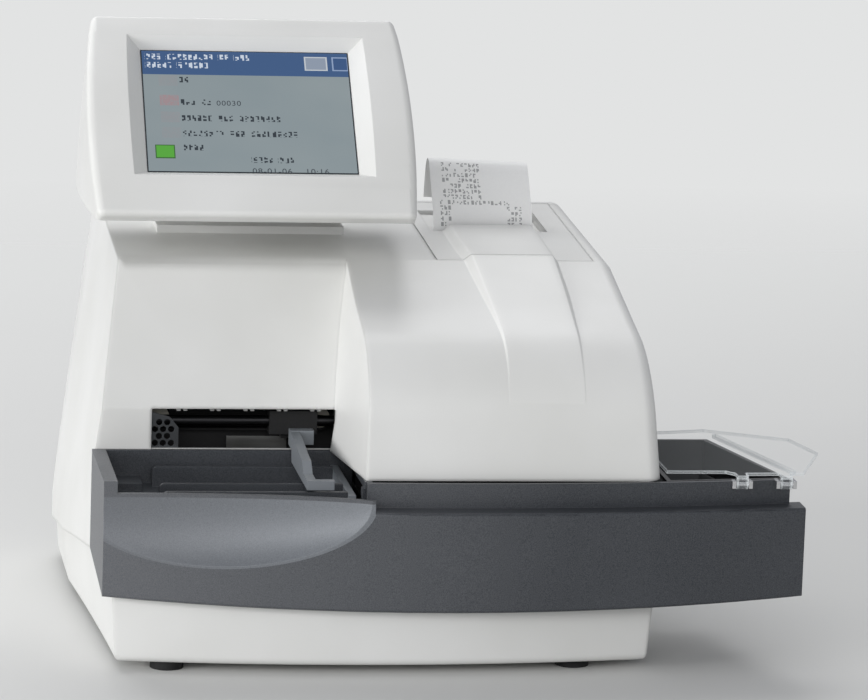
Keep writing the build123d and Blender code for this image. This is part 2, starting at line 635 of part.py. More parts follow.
def push_carriage():
    """Block that slides on the rail, with a clamp that reaches the belt's lower run."""
    w, d, h = CARRIAGE
    body = block(PUSH_X - w / 2, PUSH_X + w / 2, RAIL_Y - d / 2, RAIL_Y + d / 2, RAIL_Z - h / 2, RAIL_Z + h / 2)
    low = RAIL_Z - PULLEY_RADIUS - BELT_THICKNESS
    clamp_low = low - 2.5
    body += block(PUSH_X - 6, PUSH_X + 6, RAIL_Y, BELT_Y + BELT_WIDTH, clamp_low, low - FREE_GAP)
    body += block(PUSH_X - 6, PUSH_X + 6, RAIL_Y, RAIL_Y + d / 2, clamp_low, RAIL_Z)
    return body - rod_x(-BIG, BIG, RAIL_Y, RAIL_Z, ROD_DIAMETER / 2 + ROD_FIT)


PUSH_BAR_FRONT = 22.0
PUSH_BAR_LOW = STRIP_Z + 1.6
PUSH_BAR_REAR_LOW = RIM_Z + 1.2


def push_bar():
    """Long finger over the tray: tapered in height, with a boss behind and a foot in front."""
    back = RAIL_Y - CARRIAGE[1] / 2
    half = PUSH_BAR_WIDTH / 2
    profile = polygon((PUSH_BAR_FRONT, PUSH_BAR_LOW), (TRAY_BACK - 8, PUSH_BAR_LOW),
                      (TRAY_BACK - 6, PUSH_BAR_REAR_LOW), (back, PUSH_BAR_REAR_LOW), (back, RAIL_Z - 3),
                      (TRAY_BACK - 12, RAIL_Z - 4), (62, RIM_Z + 6), (48, RIM_Z + 5), (40, RIM_Z - 0.5),
                      (PUSH_BAR_FRONT, RIM_Z - 0.5))
    bar = side_plate(profile, PUSH_X - half, PUSH_X + half)
    bar += block(PUSH_X - half, PUSH_X + half + 9.5, PUSH_BAR_FRONT, PUSH_BAR_FRONT + 5, PUSH_BAR_LOW, RIM_Z - 0.5)
    bar += block(PUSH_X - half, PUSH_X + half + 8, back - 7, back, PUSH_BAR_REAR_LOW + 1, RAIL_Z - 3)
    return bar


def belt_loop(x_pair, y, z, radius, width):
    """Flat loop round two pulleys whose axles run along Y."""
    outer = radius + BELT_THICKNESS
    loop = block(*x_pair, y, y + width, z - outer, z + outer)
    gap = block(*x_pair, y - 1, y + width + 1, z - radius, z + radius)
    for x in x_pair:
        loop += rod_y(x, y, y + width, z, outer)
        gap += rod_y(x, y - 1, y + width + 1, z, radius)
    return loop - gap


def push_belt():
    return belt_loop(PULLEY_X, BELT_Y, RAIL_Z, PULLEY_RADIUS, BELT_WIDTH)


def pulley_y(x, z, bore):
    wheel = rod_y(x, BELT_Y, BELT_Y + BELT_WIDTH, z, PULLEY_RADIUS - PULLEY_SPIN_GAP)
    return wheel - rod_y(x, 0, BIG, z, bore)


def push_drive_pulley():
    return pulley_y(PULLEY_X[1], RAIL_Z, MOTOR_SHAFT + ROD_FIT)


def push_idler_pulley():
    return pulley_y(PULLEY_X[0], RAIL_Z, PULLEY_BORE + ROD_FIT)


def motor_plate():
    """Bright sheet plate behind the belt that carries its motor and idler pin."""
    x0, x1 = PULLEY_X[0] - 9, PULLEY_X[1] + 12
    y = MOTOR_PLATE_Y
    plate = block(x0, x1, y, y + FRAME_SHEET, CHASSIS_TOP, RAIL_Z + 13)
    plate += block(x0, x1, y, y + 12, CHASSIS_TOP, CHASSIS_TOP + FRAME_SHEET)
    plate -= block(PULLEY_X[0] + 14, PULLEY_X[1] - 22, y - 1, y + FRAME_SHEET + 1, CHASSIS_TOP + 10, RAIL_Z - 22)
    plate += rod_y(PULLEY_X[0], BELT_Y - 1, y, RAIL_Z, PULLEY_BORE)
    return plate - rod_y(PULLEY_X[1], y - 1, y + FRAME_SHEET + 1, RAIL_Z, MOTOR_SHAFT + 2)


def push_motor():
    x, y = PULLEY_X[1], MOTOR_PLATE_Y + FRAME_SHEET
    motor = block(x - 11, x + 11, y, y + 26, RAIL_Z - 11, RAIL_Z + 11)
    return motor + rod_y(x, BELT_Y - 1, y, RAIL_Z, MOTOR_SHAFT)


def perforated_bracket():
    """Small shield with a honeycomb of holes at the left of the opening."""
    x0, y = OPENING_LEFT - 1, HOUSING_FRONT + WALL
    low = CHASSIS_TOP + FRAME_SHEET
    shape = polygon((x0, low), (x0 + 16, low), (x0 + 16, RIM_Z + 11), (x0 + 11, RIM_Z + 17),
                    (x0, RIM_Z + 20))
    sheet = front_plate(shape, y, y + 1.2)
    hole = 1.7
    pitch = 4.4
    for row in range(4):
        for col in range(3):
            x = x0 + 3.2 + col * pitch + (row % 2) * pitch / 2
            z = RIM_Z + 2.5 + row * pitch * cos(radians(30))
            if x < x0 + 13:
                sheet -= rod_y(x, y - 1, y + 3, z, hole)
    return sheet


# ------------------------------------------------------------------ reading head
GANTRY_X = (HEAD_RODS_X[0] - 8, HEAD_RODS_X[1] + 8)
GANTRY_BACK = PLATFORM_BACK - GANTRY_PLATE
GANTRY_TOP = HEAD_ROD_Z + 7
HEAD_REST_Y = GANTRY_FRONT + GANTRY_PLATE + 1.5
HEAD_BELT_Z = HEAD_ROD_Z - 1.0
HEAD_BELT_X = (HEAD_RODS_X[0] + HEAD_RODS_X[1]) / 2
HEAD_PULLEY_Y = (GANTRY_FRONT + GANTRY_PLATE + 9, GANTRY_BACK - 9)


def gantry_frame():
    """Two end plates on the platform, tied by a bar, that hold the head's rods."""
    frame = Part()
    for y in (GANTRY_FRONT, GANTRY_BACK):
        frame += block(GANTRY_X[0], GANTRY_X[1], y, y + GANTRY_PLATE, RIM_Z - FREE_GAP, GANTRY_TOP)
    front_foot = block(GANTRY_X[0], GANTRY_X[1], PLATFORM_FRONT + 1.5, GANTRY_FRONT + GANTRY_PLATE,
                       RIM_Z - FREE_GAP, RIM_Z - FREE_GAP + FRAME_SHEET)
    tie = block(GANTRY_X[0], GANTRY_X[1], GANTRY_FRONT, GANTRY_BACK + GANTRY_PLATE, GANTRY_TOP, GANTRY_TOP + FRAME_SHEET)
    tie -= block(GANTRY_X[0] + 10, GANTRY_X[1] - 10, GANTRY_FRONT + 10, GANTRY_BACK - 8, 0, BIG)
    for y in HEAD_PULLEY_Y:
        tie += block(HEAD_BELT_X - 5, HEAD_BELT_X + 5, y - 5, y + 5, GANTRY_TOP, GANTRY_TOP + FRAME_SHEET)
        tie += rod_z(HEAD_BELT_X, y, HEAD_BELT_Z - 4, GANTRY_TOP + FRAME_SHEET, PULLEY_BORE)
    tie += block(HEAD_BELT_X - 5, HEAD_BELT_X + 5, GANTRY_FRONT, HEAD_PULLEY_Y[0], GANTRY_TOP, GANTRY_TOP + FRAME_SHEET)
    tie += block(HEAD_BELT_X - 5, HEAD_BELT_X + 5, HEAD_PULLEY_Y[1], GANTRY_BACK, GANTRY_TOP, GANTRY_TOP + FRAME_SHEET)
    frame += front_foot + tie
    return frame - head_rods(ROD_FIT)


def head_rods(extra=0.0):
    rods = Part()
    for x in HEAD_RODS_X:
        rods += rod_y(x, GANTRY_FRONT - 1.5, GANTRY_BACK + GANTRY_PLATE + 1.5, HEAD_ROD_Z, ROD_DIAMETER / 2 + extra)
    return rods


def guide_rods():
    """Ground rods: one for the push bar's carriage, two for the reading head."""
    return push_rail() + head_rods()


def read_head():
    """Optics housing that runs over the strip on two rods."""
    y0, y1 = HEAD_REST_Y, HEAD_REST_Y + HEAD_LENGTH
    low = RIM_Z + 4
    foot = HEAD_ROD_Z - 9
    floor = HEAD_ROD_Z - 6
    left, right = HEAD_BELT_X - 12, HEAD_BELT_X + 12
    head = block(HEAD_RODS_X[0] - 7, HEAD_RODS_X[1] + 7, y0, y1, foot, HEAD_ROD_Z + 5.5)
    head += block(HEAD_RODS_X[0] + 5, HEAD_RODS_X[1] - 5, y0 + 3, y1 - 3, low, foot)
    head -= block(left, right, 0, BIG, floor, HEAD_ROD_Z + 10)
    # clamp that holds the belt's left run
    clamp_right = HEAD_BELT_X - PULLEY_RADIUS - BELT_THICKNESS - FREE_GAP
    head += block(left, clamp_right, y0 + 8, y1 - 8, floor, HEAD_ROD_Z + 3)
    for x in HEAD_RODS_X:
        head -= rod_y(x, 0, BIG, HEAD_ROD_Z, ROD_DIAMETER / 2 + ROD_FIT)
    return head


def read_head_window():
    y0, y1 = HEAD_REST_Y + 6, HEAD_REST_Y + HEAD_LENGTH - 6
    return block(HEAD_RODS_X[0] + 10, HEAD_RODS_X[1] - 10, y0, y1, RIM_Z + 2.8, RIM_Z + 4)


def head_belt():
    width = 4.0
    flat = belt_loop(HEAD_PULLEY_Y, -width / 2, 0, PULLEY_RADIUS, width)
    return Pos(HEAD_BELT_X, 0, HEAD_BELT_Z) * Rot(0, 0, 90) * Rot(90, 0, 0) * flat


def head_pulley(index):
    y = HEAD_PULLEY_Y[index]
    wheel = rod_z(HEAD_BELT_X, y, HEAD_BELT_Z - 2, HEAD_BELT_Z + 2, PULLEY_RADIUS - PULLEY_SPIN_GAP)
    return wheel - rod_z(HEAD_BELT_X, y, 0, BIG, PULLEY_BORE + ROD_FIT)


def head_drive_pulley():
    return head_pulley(1)


def head_idler_pulley():
    return head_pulley(0)


def drive_belts():
    return push_belt() + head_belt()


def head_motor():
    y = HEAD_PULLEY_Y[1]
    z0 = GANTRY_TOP + FRAME_SHEET
    return block(HEAD_BELT_X - 14, HEAD_BELT_X + 14, y - 14, y + 14, z0, z0 + 24)


# ------------------------------------------------------------------ waste well and its clear cover
WELL_FRONT = front_y(WELL_LEFT) + LEDGE_DEPTH + WALL
WELL_RIGHT = HALF - BAND_END_INSET


def well_outline(inset):
    left, right = WELL_LEFT + inset, WELL_RIGHT - inset
    return polygon((left, front_y(WELL_LEFT) + LEDGE_DEPTH + WALL + 1.0 + inset),
                   (right, front_y(WELL_RIGHT) + LEDGE_DEPTH + WALL + inset),
                   (WELL_BACK_RIGHT - inset, WELL_BACK - inset), (left, WELL_BACK - inset))


def waste_well():
    """Open-topped well at the right end; its right wall runs inward to the back."""
    well = plan_plate(well_outline(0), WELL_BOTTOM, RIM_Z) - plan_plate(well_outline(WELL_WALL), WELL_BOTTOM + WELL_WALL, RIM_Z + 1)
    # mouth on the left, where the used strips drop in from the platform
    return well - block(WELL_LEFT - 1, WELL_LEFT + WELL_WALL + 1, PLATFORM_FRONT + 12, PLATFORM_BACK - 12, STRIP_Z - 8, RIM_Z - 2)


def waste_liner():
    """Lift-out liner that takes the used strips."""
    inset = WELL_WALL + LINER_CLEARANCE
    low = WELL_BOTTOM + WELL_WALL + FREE_GAP
    top = STRIP_Z - 11
    liner = plan_plate(well_outline(inset), low, top)
    return liner - plan_plate(well_outline(inset + LINER_WALL), low + LINER_WALL, top + 1)


def arm_bracket():
    """Steel arm under the fascia that ties the overhanging well to the chassis."""
    inner = PLATFORM_RIGHT - FRAME_SHEET - 6
    arm = block(inner, WELL_BACK_RIGHT - 8, ARM_FRONT, ARM_BACK, ARM_Z, ARM_Z + FRAME_SHEET)
    return arm + block(inner, inner + FRAME_SHEET, ARM_FRONT, ARM_BACK, ARM_Z, CHASSIS_Z)


COVER_Z = RIM_Z + COVER_RISE
HINGE_LUGS_X = (153.0, 177.0)
COVER_LUG = 2.6
COVER_SWING_GAP = 1.0
COVER_HINGE_Y = front_y(HINGE_LUGS_X[0]) + LEDGE_DEPTH - COVER_LUG - COVER_SWING_GAP
COVER_HINGE_Z = RIM_Z - 1.0
COVER_PIN = 1.2


def waste_cover():
    """Clear lid over the waste well, hinged at the front on two small lugs."""
    left = WELL_LEFT + 1.0
    plan = polygon((left, WELL_FRONT + 8), (146.0, WELL_FRONT + 8), (150.0, WELL_FRONT + 2.5), (188.0, WELL_FRONT + 4),
                   (COVER_OVERHANG, 78), (199.5, 116), (156, 141), (131, 135), (left, 135))
    lid = plan_plate(plan, COVER_Z, COVER_Z + COVER_THICKNESS)
    flange_out = polygon((WELL_BACK_RIGHT + 3, 134), (WELL_RIGHT + 3, 36), (WELL_RIGHT + 5, 37), (WELL_BACK_RIGHT + 5, 135))
    lid += plan_plate(flange_out, RIM_Z + 0.6, COVER_Z + 0.5)
    for x in HINGE_LUGS_X:
        lug = rod_x(x - 3, x + 3, COVER_HINGE_Y, COVER_HINGE_Z, COVER_LUG)
        lug += block(x - 3, x + 3, COVER_HINGE_Y - COVER_LUG, COVER_HINGE_Y, COVER_HINGE_Z, COVER_Z + COVER_THICKNESS)
        lug += block(x - 3, x + 3, COVER_HINGE_Y - COVER_LUG, WELL_FRONT + 12, COVER_Z, COVER_Z + COVER_THICKNESS)
        lid += lug
    for x in HINGE_LUGS_X:
        lid -= rod_x(x - 5, x + 5, COVER_HINGE_Y, COVER_HINGE_Z, COVER_PIN + ROD_FIT)
    return lid


def waste_hinge_pins():
    """Short pins in small cheeks on the front of the upper band."""
    pins = Part()
    for x in HINGE_LUGS_X:
        pins += rod_x(x - 5.5, x + 5.5, COVER_HINGE_Y, COVER_HINGE_Z, COVER_PIN)
        for cheek in (x - 5.5, x + 3.5):
            pins += block(cheek, cheek + 2, COVER_HINGE_Y - 2, front_y(cheek) + LEDGE_DEPTH, COVER_HINGE_Z - 2, COVER_HINGE_Z + 2)
    return pins


# ------------------------------------------------------------------ display
def on_face(along, out):
    """(y, z) of a point on the leaning display: along the face upward, and out of it."""
    lean = radians(DISPLAY_LEAN)
    _, y, z = LCD_CENTRE
    return (y + along * sin(lean) - out * cos(lean), z + along * cos(lean) + out * sin(lean))


FACE = Plane(origin=LCD_CENTRE, x_dir=(1, 0, 0),
             z_dir=(0, -cos(radians(DISPLAY_LEAN)), sin(radians(DISPLAY_LEAN))))


def display_profile():
    """Side view of the display housing: face, top, sloping back and flat bottom."""
    low = on_face(-DISPLAY_BELOW, SCREEN_RECESS)
    high = on_face(DISPLAY_ABOVE, SCREEN_RECESS)
    crown = on_face(-4, SCREEN_RECESS + 2.0)
    back_high = on_face(DISPLAY_ABOVE - 3, SCREEN_RECESS - 12)
    back_low = (DISPLAY_BACK_Y, DISPLAY_BOTTOM_Z + 22)
    return make_face([
        ThreePointArc(low, crown, high), Line(high, back_high), Line(back_high, back_low),
        Line(back_low, (DISPLAY_BACK_Y - 14, DISPLAY_BOTTOM_Z)),
        Line((DISPLAY_BACK_Y - 14, DISPLAY_BOTTOM_Z), (low[0] + 8, DISPLAY_BOTTOM_Z)),
        Line((low[0] + 8, DISPLAY_BOTTOM_Z), low),
    ])


def display_form(inset):
    half = DISPLAY_WIDTH / 2 - inset
    return side_plate(shrink(display_profile(), inset), LCD_CENTRE[0] - half, LCD_CENTRE[0] + half)


def rounded_display():
    """The display housing with its long edges and the ends of its face rounded."""
    half = DISPLAY_WIDTH / 2
    face_middle = on_face((DISPLAY_ABOVE - DISPLAY_BELOW) / 2, SCREEN_RECESS)
    form = round_edges(display_form(0), DISPLAY_SIDE_ROUND,
                       lambda m: near(abs(m.X - LCD_CENTRE[0]), half) and near(m.Y, face_middle[0], 6)
                       and near(m.Z, face_middle[1], 6))
    return round_edges(form, DISPLAY_ROUND, lambda m: near(m.X, LCD_CENTRE[0], 1))


def bezel_cutter():
    """Everything in front of the parting plane between bezel and rear shell."""
    return FACE * Pos(0, 0, SCREEN_RECESS - BEZEL_DEPTH + BIG / 2) * Box(BIG, BIG, BIG)


def screen_opening():
    """Bevelled window: wide at the face, screen-sized at the bottom."""
    w, h = LCD_SIZE
    m = SCREEN_MARGIN
    inner = FACE * Rectangle(w, h)
    outer = FACE * Pos(0, 0, SCREEN_RECESS + 3) * Rectangle(w + 2 * m + 2 * m * 3 / SCREEN_RECESS, h + 2 * m + 2 * m * 3 / SCREEN_RECESS)
    return loft([inner, outer], ruled=True)


def display_bezel():
    shell = (rounded_display() - display_form(DISPLAY_WALL)) & bezel_cutter()
    w, h = LCD_SIZE
    m = SCREEN_MARGIN
    depth = SCREEN_RECESS + 1
    collar = FACE * Pos(0, 0, depth / 2) * Box(w + 2 * m + 6, h + 2 * m + 6, depth)
    collar = collar & rounded_display()
    return (shell + collar) - screen_opening()


def display_rear_shell():
    shell = (rounded_display() - display_form(DISPLAY_WALL)) - bezel_cutter()
    for side in (-1, 1):
        x = LCD_CENTRE[0] + side * KNUCKLE_SPREAD
        knuckle = rod_x(x - KNUCKLE_WIDTH / 2, x + KNUCKLE_WIDTH / 2, HINGE_Y, HINGE_Z, KNUCKLE_RADIUS)
        knuckle += block(x - KNUCKLE_WIDTH / 2, x + KNUCKLE_WIDTH / 2, HINGE_Y - 5, HINGE_Y + 5, HINGE_Z, DISPLAY_BOTTOM_Z + 1)
        shell += knuckle
    return shell - rod_x(-BIG, BIG, HINGE_Y, HINGE_Z, HINGE_PIN_RADIUS + ROD_FIT)


HINGE_Y = NECK_FRONT + NECK_DEPTH / 2 - 4
KNUCKLE_SPREAD = 30.0
KNUCKLE_WIDTH = 22.0
NECK_TOP = HINGE_Z - 12.0


def display_neck():
    """Pedestal on the deck with three ears for the tilt pin."""
    low = NECK_TOP - 1
    foot = side_plate(polygon((NECK_FRONT, deck_z(NECK_FRONT)), (NECK_FRONT + NECK_DEPTH, deck_z(NECK_FRONT + NECK_DEPTH)),
                              (NECK_FRONT + NECK_DEPTH, NECK_TOP), (NECK_FRONT, NECK_TOP)), NECK_LEFT, NECK_RIGHT)
    ears = ((NECK_LEFT, LCD_CENTRE[0] - KNUCKLE_SPREAD - KNUCKLE_WIDTH / 2 - FREE_GAP),
            (LCD_CENTRE[0] - KNUCKLE_SPREAD + KNUCKLE_WIDTH / 2 + FREE_GAP, LCD_CENTRE[0] + KNUCKLE_SPREAD - KNUCKLE_WIDTH / 2 - FREE_GAP),
            (LCD_CENTRE[0] + KNUCKLE_SPREAD + KNUCKLE_WIDTH / 2 + FREE_GAP, NECK_RIGHT))
    for x0, x1 in ears:
        ear = block(x0, x1, HINGE_Y - 7, HINGE_Y + 7, low, HINGE_Z - 2)
        ear += rod_x(x0, x1, HINGE_Y, HINGE_Z - 2, 7)
        foot += ear
    return foot - rod_x(-BIG, BIG, HINGE_Y, HINGE_Z, HINGE_PIN_RADIUS + ROD_FIT)


def display_hinge_pin():
    return rod_x(NECK_LEFT + 1, NECK_RIGHT - 1, HINGE_Y, HINGE_Z, HINGE_PIN_RADIUS)


TOUCH_THICKNESS = 1.2


def touch_panel():
    w, h = LCD_SIZE
    return FACE * Pos(0, 0, -TOUCH_THICKNESS / 2) * Box(w + 8, h + 8, TOUCH_THICKNESS)


def lcd_module():
    """Screen module with its driver board on the back."""
    w, h = LCD_SIZE
    depth = 8.0
    top = -TOUCH_THICKNESS
    module = FACE * Pos(0, 0, top - depth / 2) * Box(w + 14, h + 12, depth)
    return module + FACE * Pos(0, 0, top - depth - BOARD_SHEET / 2) * Box(w + 10, h - 6, BOARD_SHEET)


# ------------------------------------------------------------------ printer
PAPER_RIGHT = PAPER_LEFT + PAPER_WIDTH
PRINTER_LEFT = PAPER_LEFT - 3.5
PRINTER_RIGHT = PAPER_RIGHT + 3.5


def printer_frame():
    """Two tall side plates on the chassis, tied by a cross plate under the roll."""
    front, back = PAPER_OUT_Y - 12, COVER_BACK - 3
    profile = polygon((front, CHASSIS_TOP), (back, CHASSIS_TOP), (back, ROLL_Z + 18),
                      (ROLL_Y - 14, PLATEN_Z + 8), (front, PLATEN_Z + 8))
    frame = Part()
    for x in (PRINTER_LEFT - FRAME_SHEET, PRINTER_RIGHT):
        frame += side_plate(profile, x, x + FRAME_SHEET)
    low = ROLL_Z - ROLL_RADIUS - 6
    frame += block(PRINTER_LEFT, PRINTER_RIGHT, front + 10, back - 2, low, low + FRAME_SHEET)
    frame += block(PRINTER_LEFT, PRINTER_RIGHT, front, front + FRAME_SHEET, low, PLATEN_Z - 6)
    # bearings of the spindle and the platen, and the hole of the motor shaft
    for x in (PRINTER_LEFT - FRAME_SHEET, PRINTER_RIGHT):
        frame -= rod_x(x - 1, x + FRAME_SHEET + 1, ROLL_Y, ROLL_Z, SPINDLE_END + ROD_FIT)
        frame -= rod_x(x - 1, x + FRAME_SHEET + 1, PLATEN_Y, PLATEN_Z, PLATEN_SHAFT + ROD_FIT)
    return frame - rod_x(PRINTER_RIGHT - 1, PRINTER_RIGHT + FRAME_SHEET + 1, DRIVE_Y, DRIVE_Z, MOTOR_SHAFT + 1)


SPINDLE_END = 3.0
PLATEN_SHAFT = 2.5
GEAR_WIDTH = 5.0
GEAR_X = PRINTER_RIGHT + FRAME_SHEET + 1.0
GEAR_DISTANCE = GEAR_MODULE * (PLATEN_TEETH + DRIVE_TEETH) / 2 + 0.15


def paper_roll():
    roll = rod_x(PAPER_LEFT, PAPER_RIGHT, ROLL_Y, ROLL_Z, ROLL_RADIUS)
    return roll - rod_x(0, BIG, ROLL_Y, ROLL_Z, SPINDLE_RADIUS)


def paper_spindle():
    spindle = rod_x(PAPER_LEFT, PAPER_RIGHT, ROLL_Y, ROLL_Z, SPINDLE_RADIUS)
    return spindle + rod_x(PRINTER_LEFT - FRAME_SHEET, PRINTER_RIGHT + FRAME_SHEET, ROLL_Y, ROLL_Z, SPINDLE_END)


def platen_roller():
    return rod_x(PAPER_LEFT - 1, PAPER_RIGHT + 1, PLATEN_Y, PLATEN_Z, PLATEN_RADIUS) - rod_x(-BIG, BIG, PLATEN_Y, PLATEN_Z, PLATEN_SHAFT)


def platen_shaft():
    return rod_x(PRINTER_LEFT - FRAME_SHEET - 1, GEAR_X + GEAR_WIDTH, PLATEN_Y, PLATEN_Z, PLATEN_SHAFT)


def gear(teeth, phase, y, z, bore):
    """Spur gear along X: a disc with straight-flanked teeth and room for backlash."""
    root = GEAR_MODULE * (teeth / 2 - 1.25)
    tip = GEAR_MODULE * (teeth / 2 + 0.9)
    disc = rod_x(GEAR_X, GEAR_X + GEAR_WIDTH, y, z, root)
    foot_half, tip_half = 0.40 * pi * GEAR_MODULE / 2, 0.20 * pi * GEAR_MODULE / 2
    tooth_face = polygon((-foot_half - 0.15, root - 0.4), (foot_half + 0.15, root - 0.4), (tip_half, tip), (-tip_half, tip))
    tooth = side_plate(tooth_face, GEAR_X, GEAR_X + GEAR_WIDTH)
    for i in range(teeth):
        disc += Pos(0, y, z) * Rot(phase + i * 360 / teeth, 0, 0) * tooth
    return disc - rod_x(GEAR_X - 1, GEAR_X + GEAR_WIDTH + 1, y, z, bore)


DRIVE_Y = PLATEN_Y
DRIVE_Z = PLATEN_Z - GEAR_DISTANCE


def platen_gear():
    return gear(PLATEN_TEETH, 0.0, PLATEN_Y, PLATEN_Z, PLATEN_SHAFT)


def printer_motor():
    motor = block(PRINTER_RIGHT - 26, PRINTER_RIGHT, DRIVE_Y - 13, DRIVE_Y + 13, 134, DRIVE_Z + 9)
    return motor + rod_x(PRINTER_RIGHT, GEAR_X + GEAR_WIDTH, DRIVE_Y, DRIVE_Z, MOTOR_SHAFT)


def printer_drive_gear():
    return gear(DRIVE_TEETH, 180 / DRIVE_TEETH, DRIVE_Y, DRIVE_Z, MOTOR_SHAFT + ROD_FIT)


def print_head():
    """Thermal head in front of the platen."""
    y1 = PLATEN_Y - PLATEN_RADIUS - 0.9
    return block(PRINTER_LEFT, PRINTER_RIGHT, y1 - 6, y1, PLATEN_Z - 9, PLATEN_Z + 7)


def tear_bar():
    """Toothed steel edge in front of the paper."""
    y1 = PLATEN_Y - PLATEN_RADIUS - 0.9
    z0 = PLATEN_Z + 7
    bar = block(PRINTER_LEFT, PRINTER_RIGHT, y1 - 6, y1 - 5, z0, z0 + 6)
    bar += block(PRINTER_LEFT, PRINTER_RIGHT, y1 - 6, y1, z0, z0 + 1)
    return bar


def paper_strip():
    """Printed slip: up from the printer, leaning back, over, and down behind."""
    t = PAPER_THICKNESS
    low = PLATEN_Z + 8.5

    def path(shift):
        return [(PAPER_OUT_Y + shift, low), (PAPER_OUT_Y + shift, DECK_BACK_Z - 4),
                (PAPER_OUT_Y + 6 + shift, PAPER_TOP_Z - 6)]
    front, inner = path(0), path(t)
    over = 15.0
    top_y = front[2][0] + over / 2
    end = (PAPER_OUT_Y + 6 + over + 5, DECK_BACK_Z + 8)
    face = make_face([
        Line(front[0], front[1]), Line(front[1], front[2]),
        ThreePointArc(front[2], (top_y, PAPER_TOP_Z), (front[2][0] + over, PAPER_TOP_Z - 6)),
        Line((front[2][0] + over, PAPER_TOP_Z - 6), end), Line(end, (end[0] - t, end[1])),
        Line((end[0] - t, end[1]), (front[2][0] + over - t, PAPER_TOP_Z - 6 - t)),
        ThreePointArc((front[2][0] + over - t, PAPER_TOP_Z - 6 - t), (top_y, PAPER_TOP_Z - t), (inner[2][0], PAPER_TOP_Z - 6 - t)),
        Line((inner[2][0], PAPER_TOP_Z - 6 - t), inner[1]), Line(inner[1], inner[0]), Line(inner[0], front[0]),
    ])
    return side_plate(face, PAPER_LEFT, PAPER_RIGHT)


PRINTER_HINGE_Y = COVER_BACK - 3.0
PRINTER_HINGE_Z = deck_z(PRINTER_HINGE_Y) - WALL / 2
PRINTER_PIN = 1.0
PRINTER_PIN_REACH = 8.0
PRINTER_PIN_ROOT = 5.0


def printer_cover():
    """Lid in the deck with the paper slot; it swings up about its back edge."""
    g = COVER_GAP
    y0, y1 = DECK_FRONT_Y + 3 + g, COVER_BACK - g
    lid = side_plate(polygon((y0, deck_z(y0) - WALL), (y0, deck_z(y0)), (y1, deck_z(y1)), (y1, deck_z(y1) - WALL)),
                     COVER_LEFT + g, COVER_RIGHT - g)
    lid -= block(PAPER_LEFT - 2, PAPER_RIGHT + 8, PAPER_OUT_Y - 3, SLOT_BACK, DECK_FRONT_Z - 20, DECK_BACK_Z + 10)
    # sloping cheeks beside the paper
    for x0, x1 in ((PAPER_LEFT - 4, PAPER_LEFT - 2), (PAPER_RIGHT + 8, PAPER_RIGHT + 10)):
        cheek = polygon((PAPER_OUT_Y, deck_z(PAPER_OUT_Y) - WALL), (SLOT_BACK, deck_z(SLOT_BACK) - WALL), (SLOT_BACK - 8, deck_z(SLOT_BACK) - 6),
                        (PAPER_OUT_Y + 14, deck_z(PAPER_OUT_Y) - 6))
        lid += side_plate(cheek, x0, x1)
    return lid - printer_hinge_line(ROD_FIT)


def printer_hinge_line(extra):
    """The two short pins, or with extra radius the holes they run in."""
    left = rod_x(COVER_LEFT - PRINTER_PIN_ROOT, COVER_LEFT + PRINTER_PIN_REACH,
                 PRINTER_HINGE_Y, PRINTER_HINGE_Z, PRINTER_PIN + extra)
    right = rod_x(COVER_RIGHT - PRINTER_PIN_REACH, COVER_RIGHT + PRINTER_PIN_ROOT,
                  PRINTER_HINGE_Y, PRINTER_HINGE_Z, PRINTER_PIN + extra)
    return left + right


def printer_cover_pins():
    return printer_hinge_line(0)


# ------------------------------------------------------------------ inside the housing
def chassis_plate():
    """Sheet chassis on the posts of the lower housing, with lift pins and the well's arm."""
    plate = block(-168, PLATFORM_RIGHT, PLATFORM_FRONT + 2, 303, CHASSIS_Z, CHASSIS_TOP)
    for x, y in LIFT_PINS:
        plate += rod_z(x, y, CHASSIS_Z, TABLE_PLATE_TOP + 1, LIFT_PIN_RADIUS)
        plate += rod_z(x, y, CHASSIS_Z, LIFT_TOP - LIFT_PLATE, LIFT_PIN_RADIUS + 3)
    return plate + arm_bracket()


def main_board():
    """Circuit board on its posts, with chips, sockets and capacitors."""
    top = BOARD_Z + BOARD_SHEET
    parts = block(-150, -10, 60, 210, BOARD_Z, top)
    for x, y, w, d, h in ((-120, 120, 28, 28, 3), (-80, 120, 20, 14, 2), (-80, 150, 20, 14, 2), (-50, 90, 8, 40, 10),
                          (-130, 180, 30, 8, 9), (-60, 185, 24, 10, 9), (-100, 85, 14, 14, 3)):
        parts += block(x - w / 2, x + w / 2, y - d / 2, y + d / 2, top, top + h)
    for i in range(4):
        parts += rod_z(-32, 110 + i * 14, top, top + 14, 5)
    return parts


def power_supply():
    """Vented box that makes the low voltages."""
    box_ = block(22, 92, 110, 250, FLOOR_Z, FLOOR_Z + 40)
    for i in range(9):
        y = 122 + i * 13
        box_ -= block(30, 84, y, y + 5, FLOOR_Z + 38.5, FLOOR_Z + 41)
    return box_


